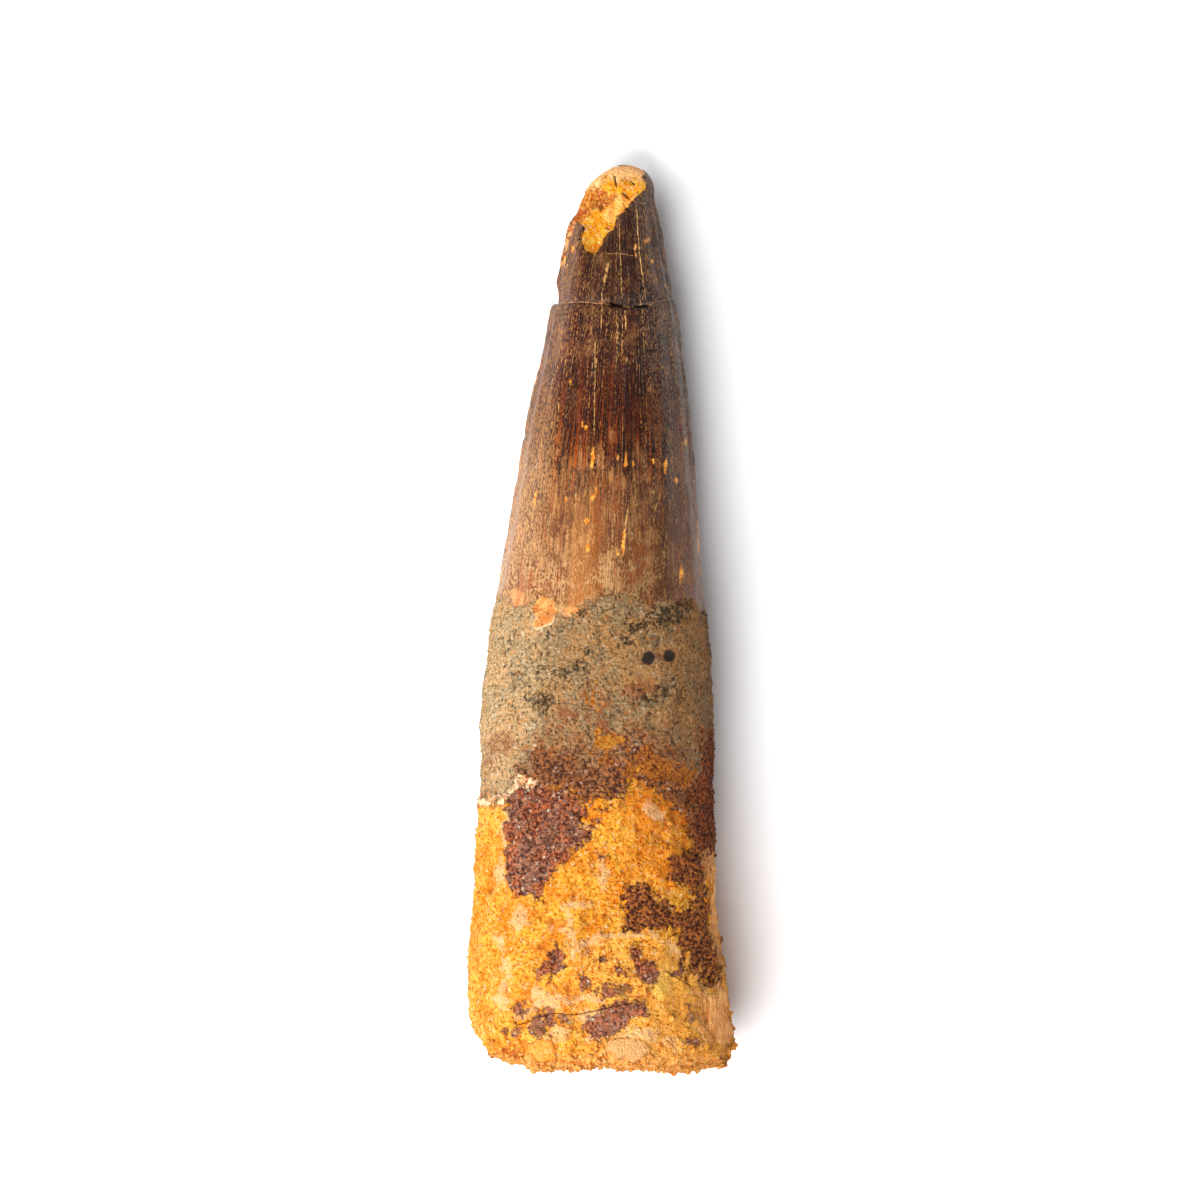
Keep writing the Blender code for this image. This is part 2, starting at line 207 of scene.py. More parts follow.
CHIP_RED_SPOTS = (
    (613.5, 196, 4, 4), (599, 193, 5, 4), (606, 204, 2.5, 2.5), (582, 211, 7, 4, -20), (577, 220, 4, 4),
    (601, 247, 4, 3, -30),
)
CHIP_PITS = (
    (602, 206, 2.8, 3.6), (596, 187.5, 2.6, 3.6), (608.5, 202.5, 1.8, 1.5), (589, 204.5, 2.2, 2.2),
    (592, 196, 2.0, 2.0), (587, 209.5, 3.0, 1.6),
)
WORN_LEFT = ((577, 222), (571, 240), (564, 260), (558, 284), (556, 302), (538, 302), (543, 255), (556, 215))
WORN_RIM = ((547, 304), (551, 304), (546, 340), (540, 366), (531, 412), (526, 412), (535, 366), (542, 335))
WORN_RIGHT = ((693, 415), (690, 440), (694, 500), (698, 580), (712, 580), (708, 500), (702, 415))
CROWN_NICKS = ((541, 366, 5), (527, 396, 4), (523, 436, 6), (534, 381, 3))

BROKEN_CORNER = (
    (440, 1010), (469, 1020), (485, 1040), (488, 1050), (494, 1056), (508, 1060), (522, 1063), (534, 1067),
    (534, 1080),
)

PALE_LINES = (
    (((608, 262), (606, 272), (604, 286)), 1.4),
    (((604, 286), (602, 292), (602, 308), (601, 330)), 0.5),
    (((595, 338), (595, 380), (594, 441)), 0.4),
    (((636, 205), (639, 250), (643, 280), (646, 300)), 0.5),
    (((617, 308), (617, 345)), 0.4),
    (((628, 505), (626, 520), (624, 556)), 0.8),
    (((625, 310), (626, 330)), 0.6),
    (((604, 254), (620, 253), (637, 256)), 0.35),
    (((619, 214), (620, 250), (622, 300)), 0.3),
    (((636, 204), (648, 203)), 0.3),
)
DARK_LINES = (
    (
        ((507, 1031), (522, 1024), (538, 1017), (554, 1013), (575, 1015), (593, 1011), (613, 1007),
         (632, 1003), (648, 1010)),
        0.5,
    ),
    (((664, 970), (681, 980), (693, 987)), 0.5),
    (((609, 304), (615, 306), (623, 307)), 1.8),
    (((633, 307), (648, 306.5)), 1.4),
    (((631, 181), (635, 185)), 0.9),
    (((623, 193), (628, 197)), 0.9),
)
CRACK_LINE = (
    ((545, 303), (562, 303), (580, 302), (605, 304), (618, 306), (634, 307), (648, 306), (655, 302),
     (685, 296)),
    0.5,
)
TIP_CRACK = (((614, 175), (617, 187)), 0.8)


def smooth(low, high, value):
    """Goes smoothly from 0 at low to 1 at high."""
    t = np.clip((value - low) / (high - low), 0.0, 1.0)
    return t * t * (3.0 - 2.0 * t)


def hashed(cell, seed):
    """A repeatable number from 0 to 1 for each whole-number cell."""
    x, y, z = cell[..., 0], cell[..., 1], cell[..., 2]
    h = ((x * 73856093) ^ (y * 19349663) ^ (z * 83492791) ^ (seed * 9973)) & 0x7FFFFFFF
    h = ((h ^ (h >> 13)) * 1274126177) & 0x7FFFFFFF
    h = ((h ^ (h >> 15)) * 668265263) & 0x7FFFFFFF
    return (h ^ (h >> 16)) / float(0x7FFFFFFF)


def noise(points, size, seed=0):
    """Smooth lumps of about that size, from -1 to 1."""
    scaled = points / size
    cell = np.floor(scaled).astype(np.int64)
    f = scaled - cell
    f = f * f * (3.0 - 2.0 * f)
    total = 0.0
    for dx in (0, 1):
        for dy in (0, 1):
            for dz in (0, 1):
                corner = np.array((dx, dy, dz))
                weight = np.prod(np.where(corner == 1, f, 1.0 - f), axis=-1)
                total = total + weight * hashed(cell + corner, seed)
    return 2.0 * total - 1.0


def rough(points, size, seed=0, octaves=3):
    """Noise of several sizes, each half as large and half as high as the one before."""
    return sum(noise(points, size / 2**k, seed + k) / 2**k for k in range(octaves))


def pebbles(points, size, seed=0):
    """Distance to the nearest of scattered points in units of size, and that point's own number."""
    scaled = points / size
    base = np.floor(scaled).astype(np.int64)
    nearest = np.full(points.shape[:-1], 9.0)
    number = np.zeros(points.shape[:-1])
    for dx in (-1, 0, 1):
        for dy in (-1, 0, 1):
            for dz in (-1, 0, 1):
                cell = base + np.array((dx, dy, dz))
                centre = cell + np.stack([hashed(cell, seed + k) for k in range(3)], axis=-1)
                away = np.linalg.norm(scaled - centre, axis=-1)
                closer = away < nearest
                nearest = np.where(closer, away, nearest)
                number = np.where(closer, hashed(cell, seed + 3), number)
    return nearest, number


# The surface sampled from the solid


def row_rays():
    """Station of each row's ray origins and how far the rays lean towards the tip, in radians."""
    rows = [(TIP_PIVOT, math.pi / 2 * (1 - (k + 1) / (TIP_ROWS + 1))) for k in range(TIP_ROWS)]
    for start, end, count in SIDE_SPANS:
        rows += [(start + (end - start) * k / count, 0.0) for k in range(count)]
    drop = ROOT_PIVOT - ROOT_END
    rows += [(ROOT_PIVOT, -math.atan2(drop * k / WALL_ROWS, ROOT_RADIUS)) for k in range(WALL_ROWS)]
    for k in range(FACE_ROWS):
        rows.append((ROOT_PIVOT, -math.atan2(drop, ROOT_RADIUS * (1 - k / FACE_ROWS))))
    return rows


def ray_angles():
    """Angles round the tooth, closer together on the upper side."""
    even = np.linspace(0.0, 2 * math.pi, 2000)
    share = even + UPPER_DENSITY * (1.0 - np.cos(even))
    wanted = np.arange(AROUND) / AROUND * 2 * math.pi
    return np.interp(wanted, share, even)


def axis_point(station):
    stations = [row[0] for row in AXIS][::-1]
    x = np.interp(station, stations, [row[1] for row in AXIS][::-1])
    z = np.interp(station, stations, [row[2] for row in AXIS][::-1])
    return Vector((x, station, z))


def sampled(tree, rows, angles):
    """Points of the solid's surface, one row of the grid for each row of rays."""
    points = np.zeros((len(rows), len(angles), 3))
    for j, (station, lean) in enumerate(rows):
        origin = axis_point(station)
        for i, angle in enumerate(angles):
            flat = math.cos(lean)
            ray = Vector((flat * math.cos(angle), math.sin(lean), flat * math.sin(angle)))
            points[j, i] = tree.ray_cast(origin, ray)[0]
    return points


def pole(tree, station, direction):
    return np.array(tree.ray_cast(axis_point(station), Vector((0, direction, 0)))[0])


def blurred(points, tip, end, passes):
    """The grid with each point drawn to its neighbours, several times over."""
    for _ in range(passes):
        points = 0.5 * points + 0.25 * (np.roll(points, 1, axis=1) + np.roll(points, -1, axis=1))
        before = np.concatenate([np.broadcast_to(tip, points[:1].shape), points[:-1]])
        after = np.concatenate([points[1:], np.broadcast_to(end, points[:1].shape)])
        points = 0.5 * points + 0.25 * (before + after)
    return points


def outward(points, tip, end):
    """Unit normals of the grid."""
    along = np.concatenate([points[1:], np.broadcast_to(end, points[:1].shape)])
    along = along - np.concatenate([np.broadcast_to(tip, points[:1].shape), points[:-1]])
    across = np.roll(points, -1, axis=1) - np.roll(points, 1, axis=1)
    normal = np.cross(across, along)
    return normal / np.maximum(np.linalg.norm(normal, axis=-1, keepdims=True), 1e-12)


class Surface:
    """The sampled surface, with what each of its points needs to know of its place."""

    def __init__(self):
        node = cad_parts["tooth"]
        corners = [v.co / MM for v in node.data.vertices]
        tree = BVHTree.FromPolygons(corners, [tuple(p.vertices) for p in node.data.polygons])
        rows = row_rays()
        self.angle = np.broadcast_to(ray_angles(), (len(rows), AROUND))
        self.tip = pole(tree, TIP_PIVOT, 1.0)
        self.end = pole(tree, ROOT_PIVOT, -1.0)
        raw = sampled(tree, rows, ray_angles())
        station = raw[..., 1]
        notch = np.exp(-(((station - 31.6) / 2.0) ** 2)) * smooth(0.9, 0.5, np.abs(self.angle - math.pi))
        crisp = np.maximum(notch, smooth(34.5, 36.0, station))
        crown = smooth(-1.0, 3.5, station)
        light, middle, heavy = (blurred(raw, self.tip, self.end, n) for n in (2, 8, 18))
        calm = heavy + (middle - heavy) * crown[..., None]
        self.points = calm + (light - calm) * crisp[..., None]
        self.normals = outward(self.points, self.tip, self.end)
        self.x, self.y, self.z = (self.points[..., k] for k in range(3))
        nearness = (CAMERA_HEIGHT - FOCUS_HEIGHT) / (CAMERA_HEIGHT - self.z) / PIXEL
        self.px = PICTURE_CENTRE + (self.x - VIEW_CENTRE[0]) * nearness
        self.py = PICTURE_CENTRE - (self.y - VIEW_CENTRE[1]) * nearness
        swirl = smooth(2.0, -2.0, self.y) * 3.0 + 1.5
        self.warped_x = self.px + swirl * rough(self.points, 1.5, 5)
        self.warped_y = self.py + swirl * rough(self.points, 1.5, 8)
        self.side = np.sin(self.angle)
        self.seen = smooth(-0.38, -0.08, self.side + 0.08 * noise(self.points, 2.0, 3))
        turn = self.angle - math.pi / 2
        self.fluted = np.stack([np.cos(turn), np.sin(turn), self.y / 20.0], axis=-1)
        self.broken_end = smooth(-42.6, -44.2, self.y) * smooth(0.35, 0.8, -self.normals[..., 1])


def crown_edge(angle):
    degrees = np.degrees(angle) % 360.0
    return np.interp(degrees, [a for a, _ in CROWN_EDGE], [y for _, y in CROWN_EDGE], period=360.0)


# Fields: distances in pixels to the edges of what is painted and carved, positive inside


def within(surface, outline):
    """Distance in from an outline, as seen from above."""
    x, y = surface.warped_x, surface.warped_y
    inside = np.zeros(x.shape, bool)
    for (x0, y0), (x1, y1) in zip(outline, outline[1:] + outline[:1]):
        if y0 != y1:
            inside ^= ((y0 > y) != (y1 > y)) & (x < x0 + (x1 - x0) * (y - y0) / (y1 - y0))
    away = off_line(x, y, outline + outline[:1])
    return np.where(inside, away, -away)


def spot(surface, x, y, half_width, half_height, tilt=0.0):
    """Distance in from an ellipse, as seen from above."""
    c, s = math.cos(math.radians(tilt)), math.sin(math.radians(tilt))
    dx, dy = surface.warped_x - x, surface.warped_y - y
    across = (dx * c + dy * s) / half_width
    along = (dy * c - dx * s) / half_height
    return (1.0 - np.hypot(across, along)) * min(half_width, half_height)


def spots(surface, places):
    return np.max([spot(surface, *place) for place in places], axis=0)


def off_line(x, y, points):
    """Distance to a line through points."""
    nearest = np.full(x.shape, 1e9)
    for (x0, y0), (x1, y1) in zip(points, points[1:]):
        along = ((x - x0) * (x1 - x0) + (y - y0) * (y1 - y0)) / ((x1 - x0) ** 2 + (y1 - y0) ** 2)
        along = np.clip(along, 0.0, 1.0)
        nearest = np.minimum(nearest, np.hypot(x - x0 - along * (x1 - x0), y - y0 - along * (y1 - y0)))
    return nearest


def strokes(surface, lines):
    """Distance in from the edges of thick lines, as seen from above."""
    x, y = surface.warped_x, surface.warped_y
    return np.max([width - off_line(x, y, points) for points, width in lines], axis=0)


def on_top(surface, upper, lower):
    """One field for the side that the photograph shows, and another for the rest."""
    return upper * surface.seen + lower * (1.0 - surface.seen)


def with_patches(surface, upper, size, share, seed):
    """A field for the side that the photograph shows, carried on as scattered patches on the rest."""
    patches = (rough(surface.points, size, seed, 2) - share) * size / PIXEL * PATCH_SLOPE
    return on_top(surface, upper, patches)


def painted_fields(surface):
    """Every field by name."""
    p = surface.points
    wave = noise(p, 1.6, 11) * 4.0 + noise(p, 0.7, 12) * 2.5
    away = np.full(surface.x.shape, -20.0)
    beneath = 16.0 * smooth(0.12, -0.12, surface.side + 0.3 * noise(p, 3.0, 15))
    root_upper = surface.py - np.interp(surface.px, *zip(*ROOT_TOP))
    root_lower = surface.py - 800.0 + 22.0 * noise(p, 9.0, 14)
    root = on_top(surface, root_upper, root_lower) + wave
    on_root = np.minimum(root, 30.0)
    rust = [within(surface, outline) for outline in (RUST_MAIN, RUST_BAND, RUST_SLANT)]
    rust = np.maximum.reduce(rust + [spots(surface, RUST_SPOTS)])
    dark = np.maximum(within(surface, DARK_BAND), within(surface, EDGE_DARK))
    dark = with_patches(surface, dark, 8.0, 0.48, 23)
    dark = np.minimum(dark + wave * 0.8, on_root + 100.0 * surface.seen + 15.0)
    chip = on_top(surface, within(surface, CHIP) + wave * 0.35, 2.0 * away)
    chip = chip * smooth(2.2, 3.8, surface.z) - 8.0 * smooth(3.8, 2.2, surface.z)
    cream = np.maximum(spots(surface, CREAM_SPOTS), strokes(surface, CREAM_STROKES))
    dots = np.max([radius - np.hypot(surface.px - x, surface.py - y) for x, y, radius in DOTS], axis=0)
    strip = within(surface, SMOOTH_STRIP) - 2.0 * beneath
    strip = strip + 12.0 * rough(p, 3.0, 16) * smooth(0.6, 0.1, surface.side)
    worn = np.maximum.reduce([within(surface, edge) for edge in (WORN_LEFT, WORN_RIM, WORN_RIGHT)])
    upper_only = {
        "worn": worn - beneath,
        "strip": strip,
        "dots": dots,
        "ledge": strokes(surface, LEDGE_STROKES),
        "warm": spots(surface, WARM_SPOTS),
        "beige": spots(surface, BEIGE_SPOTS),
        "lump": spots(surface, LUMP_SPOTS),
        "lime": spot(surface, *LIME_SPOT),
    }
    return {
        "crown": (surface.y - crown_edge(surface.angle)) / PIXEL + noise(p, 0.9, 13) * 3.0,
        "root": root,
        "rust": np.minimum(with_patches(surface, rust, 5.0, 0.42, 21) + wave * 0.7, on_root),
        "dark": dark - 14.0 * surface.broken_end,
        "chip": chip,
        "cap": within(surface, TIP_CAP) + wave * 0.6,
        "cream": with_patches(surface, cream, 3.5, 0.62, 25) + wave * 0.3,
        "gold": with_patches(surface, spots(surface, GOLD_SPOTS), 1.6, 0.95, 26),
        "hollow": np.minimum(within(surface, CHIP_HOLLOW) + wave * 0.2, chip),
        "lip": np.minimum(within(surface, CHIP_LIP) + wave * 0.1, chip),
        "chip_red": np.minimum(spots(surface, CHIP_RED_SPOTS), chip),
        "peach": with_patches(surface, spots(surface, PEACH_SPOTS), 2.2, 0.85, 30) + wave * 0.15,
        "reddish": with_patches(surface, spots(surface, REDDISH_SPOTS), 3.0, 0.75, 27) + wave * 0.5,
        "black": with_patches(surface, spots(surface, BLACK_SPOTS), 1.6, 0.95, 28) + wave * 0.2,
        "core": core_share(surface),
        **{name: on_top(surface, field, away) for name, field in upper_only.items()},
    }


# Relief, in millimetres along the normals


def line_depth(surface, points, half_width):
    """1 along a line seen from above, 0 beyond its half width."""
    return smooth(half_width, 0.0, off_line(surface.px, surface.py, points))


def enamel_relief(surface):
    """Fine lengthwise ridges, with a few broader ones."""
    flutes = surface.fluted * np.array((1.0, 1.0, 0.35))
    fine = noise(flutes, 0.055, 31)
    broad = noise(flutes, 0.16, 32)
    short = noise(surface.fluted * np.array((1.0, 1.0, 1.6)), 0.09, 33)
    fade = smooth(45.0, 41.0, surface.y)
    right = smooth(0.2, 0.9, np.cos(surface.angle))
    flank = smooth(0.80, 0.96, np.abs(np.cos(surface.angle)))
    chipped = np.minimum(rough(surface.points, 2.4, 34, 3), 0.15) * flank
    relief = (0.045 * fine + 0.05 * broad + 0.03 * short + 0.16 * chipped) * fade + 0.12 + 0.16 * right
    for x, y, size in CROWN_NICKS:
        away = np.hypot((surface.px - x) / 1.6, surface.py - y)
        relief = relief - 0.16 * smooth(size, 0.0, away) * surface.seen
    return relief


def pits(points, size, share, seed):
    """1 at the middle of scattered pits, for that share of places."""
    away, number = pebbles(points, size, seed)
    return smooth(0.36, 0.08, away) * (number < share)


def crust_relief(surface):
    """Sand grains standing in a cement, with pits where grains have fallen out."""
    p = surface.points
    grain, number = pebbles(p, 0.66, 41)
    relief = 0.16 * (0.55 - grain) * (0.4 + number) + 0.15 * rough(p, 1.1, 42, 2) + 0.12 * rough(p, 2.8, 43)
    return relief - 0.24 * pits(p, 1.2, 0.22, 44)


def root_relief(surface, fields):
    """Earthy weathered root: soft lumps, shallow lengthwise furrows and crumbs."""
    p = surface.points
    furrows = noise(surface.fluted * np.array((1.0, 1.0, 0.5)), 0.07, 51)
    grain, number = pebbles(p, 0.7, 52)
    relief = 0.20 * rough(p, 2.8, 53) + 0.22 * rough(p, 1.2, 56, 2) + 0.07 * furrows
    relief = relief + 0.18 * (0.5 - grain) * (number > 0.3) - 0.30 * pits(p, 1.3, 0.3, 54)
    coarse, _ = pebbles(p, 0.8, 55)
    stained = np.maximum(smooth(-2.0, 3.0, fields["rust"]), smooth(-2.0, 3.0, fields["dark"]))
    relief = relief + stained * (0.08 + 0.26 * (0.5 - coarse))
    relief = relief + 0.10 * smooth(-3.0, 4.0, fields["cream"]) * (1.0 - stained)
    rim = smooth(-41.0, -43.5, surface.y)
    lumps, _ = pebbles(p, 1.1, 57)
    relief = relief + rim * 0.45 * (0.5 - lumps)
    on_lump = smooth(-1.0, 3.0, fields["lump"])
    on_strip = 0.8 * smooth(-2.0, 4.0, fields["strip"]) * smooth(1000.0, 985.0, surface.py)
    calm = np.maximum(on_lump, on_strip)
    snapped = smooth(532.0, 488.0, surface.px) * smooth(1036.0, 1058.0, surface.py) * 0.9
    snapped = snapped + smooth(714.0, 734.0, surface.px) * smooth(1044.0, 1062.0, surface.py) * 0.5
    relief = relief * (1.0 - 0.85 * calm) - snapped * surface.seen
    return relief + 0.16 * smooth(-3.0, 7.0, fields["lump"]) + 0.16 * smooth(-1.5, 2.0, fields["ledge"])


def chip_relief(surface, fields):
    """The crystalline break at the tip: a rough hollow and floor, a smooth lip and a smooth cap."""
    p = surface.points
    grain, number = pebbles(p, 0.50, 61)
    hollow = smooth(-1.5, 4.0, fields["hollow"])
    lip = smooth(-1.0, 2.5, fields["lip"])
    calm = np.maximum(lip, smooth(-2.0, 4.0, fields["cap"]))
    relief = 0.20 * (0.5 - grain) * (0.3 + number) * (0.5 + 0.9 * hollow) + 0.09 * rough(p, 1.0, 62)
    for x, y, half_width, half_height in CHIP_PITS:
        away = np.hypot((surface.warped_x - x) / half_width, (surface.warped_y - y) / half_height)
        relief = relief - 0.36 * smooth(1.3, 0.2, away)
    inside = smooth(-1.0, 2.0, fields["chip"])
    facing = smooth(0.25, 0.65, surface.normals[..., 2])
    depth = (0.20 + 0.20 * hollow) * facing
    return inside * (relief * (1.0 - 0.75 * calm) - depth * (1.0 - calm) - 0.04 * lip + 0.14)


def core_share(surface):
    """1 in the sandy filling of the broken root end, 0 in the ring of dentine round it."""
    p = surface.points
    radius = np.hypot((p[..., 0] - surface.end[0]) / 1.12, p[..., 2] - surface.end[2])
    return smooth(7.2, 6.6, radius + 1.1 * rough(p, 3.6, 81))


def end_relief(surface):
    """The broken root end: a ring of dentine round a crumbly core."""
    p = surface.points
    core = core_share(surface)
    grain, _ = pebbles(p, 0.75, 82)
    ring = 0.26 * rough(p, 3.4, 83) + 0.05 * (0.5 - grain)
    sandy = 0.40 * rough(p, 2.4, 84) + 0.20 * (0.5 - grain) - 0.35 - 0.25 * pits(p, 1.6, 0.3, 85)
    return ring * (1.0 - core) + sandy * core


def corner_limit(surface):
    """How far left the root end reaches, where its corner has broken away."""
    limit = np.interp(surface.py, [y for _, y in BROKEN_CORNER], [x for x, _ in BROKEN_CORNER])
    return (limit - PICTURE_CENTRE) * PIXEL + VIEW_CENTRE[0] + 0.25 * rough(surface.points, 1.0, 91)


def relief_of(surface, fields):
    on_crown = smooth(-2.0, 3.0, fields["crown"])
    on_root = smooth(-12.0, 8.0, fields["root"])
    relief = enamel_relief(surface) * on_crown
    crust = crust_relief(surface) * (1.0 - on_root) + root_relief(surface, fields) * on_root
    relief = relief + crust * (1.0 - on_crown)
    relief = relief - 0.10 * smooth(-5.0, 0.0, fields["crown"]) * (1.0 - on_crown)
    relief = relief + 0.05 * smooth(-1.5, 2.0, fields["peach"])
    relief = relief * (1.0 - surface.broken_end) + end_relief(surface) * surface.broken_end
    relief = relief * (1.0 - smooth(-1.0, 2.0, fields["chip"])) + chip_relief(surface, fields)
    left = smooth(0.45, 0.1, np.abs(surface.angle - math.pi))
    relief = relief - (0.14 + 0.12 * left) * line_depth(surface, CRACK_LINE[0], 2.2)
    for points, half_width in DARK_LINES + (TIP_CRACK,):
        relief = relief - 0.16 * line_depth(surface, points, half_width * 2.0) * surface.seen
    for points, half_width in PALE_LINES:
        relief = relief + 0.03 * line_depth(surface, points, half_width * 2.0) * surface.seen
    return relief


# Meshes


def linked(name, data):
    piece = bpy.data.objects.new(name, data)
    bpy.context.scene.collection.objects.link(piece)
    return piece


def grid_faces(rows, around):
    """Faces of a closed grid with a pole at each end: the poles are the last two points."""
    faces = []
    tip, end = rows * around, rows * around + 1
    for i in range(around):
        k = (i + 1) % around
        faces.append((tip, i, k))
        faces.append((end, (rows - 1) * around + k, (rows - 1) * around + i))
    for j in range(rows - 1):
        for i in range(around):
            k = (i + 1) % around
            faces.append((j * around + i, (j + 1) * around + i, (j + 1) * around + k, j * around + k))
    return faces


def with_poles(values, poles):
    """A grid's values as one list, with a value for each pole at its end."""
    flat = values.reshape(-1, *values.shape[2:])
    return np.concatenate([flat, np.array(poles).reshape(2, *values.shape[2:])])


def object_of(name, points, faces, values):
    mesh = bpy.data.meshes.new(name)
    mesh.from_pydata((points * MM).tolist(), [], faces)
    mesh.shade_smooth()
    for key, value in values.items():
        kind, field = ("FLOAT_VECTOR", "vector") if value.ndim == 2 else ("FLOAT", "value")
        attribute = mesh.attributes.new(key, kind, "POINT")
        attribute.data.foreach_set(field, value.astype(np.float32).ravel())
    return linked(name, mesh)


def painted_values(surface, fields, relief):
    """What the material reads, by name, for each point of the grid."""
    place = {"seen": surface.seen, "broken_end": surface.broken_end, "fluted": surface.fluted}
    return {**fields, **place, "height": relief}


def tooth_piece(surface, points, values):
    rows, around = surface.x.shape
    corners = with_poles(points, [surface.tip, surface.end])
    values = {k: with_poles(v, [v[0].mean(axis=0), v[-1].mean(axis=0)]) for k, v in values.items()}
    return object_of("fossil_tooth", corners, grid_faces(rows, around), values)


def ball(level):
    """Corners and faces of a small round stone."""
    shape = bmesh.new()
    bmesh.ops.create_icosphere(shape, subdivisions=level, radius=1.0)
    corners = np.array([v.co[:] for v in shape.verts])
    faces = np.array([[v.index for v in face.verts] for face in shape.faces])
    shape.free()
    return corners, faces


def turned(rng, count):
    """Random rotations, as matrices."""
    q = rng.normal(size=(count, 4))
    w, x, y, z = (q / np.linalg.norm(q, axis=1, keepdims=True)).T
    rows = (
        (1 - 2 * (y * y + z * z), 2 * (x * y - z * w), 2 * (x * z + y * w)),
        (2 * (x * y + z * w), 1 - 2 * (x * x + z * z), 2 * (y * z - x * w)),
        (2 * (x * z - y * w), 2 * (y * z + x * w), 1 - 2 * (x * x + y * y)),
    )
    return np.stack([np.stack(row, axis=-1) for row in rows], axis=1)


def grains_piece(name, surface, points, values, weight, count, sizes, level, seed):
    """Irregular grains half sunk in the surface, in its own colours."""
    rng = np.random.default_rng(seed)
    along = np.linalg.norm(np.roll(points, -1, axis=0) - points, axis=-1)
    across = np.linalg.norm(np.roll(points, -1, axis=1) - points, axis=-1)
    share = (weight * along * across)[1:-1].ravel()
    places = rng.choice(share.size, count, replace=False, p=share / share.sum()) + AROUND
    corners, faces = ball(level)
    size = np.exp(rng.uniform(math.log(sizes[0]), math.log(sizes[1]), count))
    shape = corners * rng.uniform(0.6, 1.0, (count, 1, 3)) * rng.uniform(0.8, 1.15, (count, len(corners), 1))
    shape = np.einsum("nij,nkj->nki", turned(rng, count), shape) * size[:, None, None]
    normals = surface.normals.reshape(-1, 3)[places]
    centres = points.reshape(-1, 3)[places] + normals * (size * rng.uniform(-0.35, 0.25, count))[:, None]
    body = (shape + centres[:, None]).reshape(-1, 3)
    body[:, 2] = np.maximum(body[:, 2], 0.0)
    offsets = np.arange(count)[:, None, None] * len(corners)
    faces = (faces[None] + offsets).reshape(-1, 3).tolist()
    flat = {key: value.reshape(-1, *value.shape[2:])[places] for key, value in values.items()}
    flat["height"] = np.maximum(flat["height"], 0.0)
    flat = {key: np.repeat(value, len(corners), axis=0) for key, value in flat.items()}
    return object_of(name, body, faces, flat)


def grain_weights(surface, fields):
    """Where sand grains lie, and where root crumbs do."""
    off_crown = smooth(0.0, -6.0, fields["crown"]) * smooth(0.2, 1.0, surface.z)
    on_root = smooth(-20.0, 10.0, fields["root"])
    on_rim = smooth(-39.0, -43.0, surface.y)
    stained = np.maximum(smooth(-3.0, 3.0, fields["rust"]), smooth(-3.0, 3.0, fields["dark"]))
    bare = 1.0 - smooth(-2.0, 1.0, np.maximum.reduce([fields["lump"], fields["strip"], fields["ledge"]]))
    facing = 0.25 + 0.75 * smooth(0.2, 0.6, surface.normals[..., 2])
    sand = off_crown * (1.0 - 0.8 * on_root)
    return sand, off_crown * bare * (on_root * facing * (0.3 + 1.2 * stained) + 3.5 * on_rim)


# Materials


def srgb(red, green, blue):
    """A colour given as it looks on screen, as the light it reflects."""
    parts = [c / 255.0 for c in (red, green, blue)]
    return tuple(c / 12.92 if c <= 0.04045 else ((c + 0.055) / 1.055) ** 2.4 for c in parts) + (1.0,)


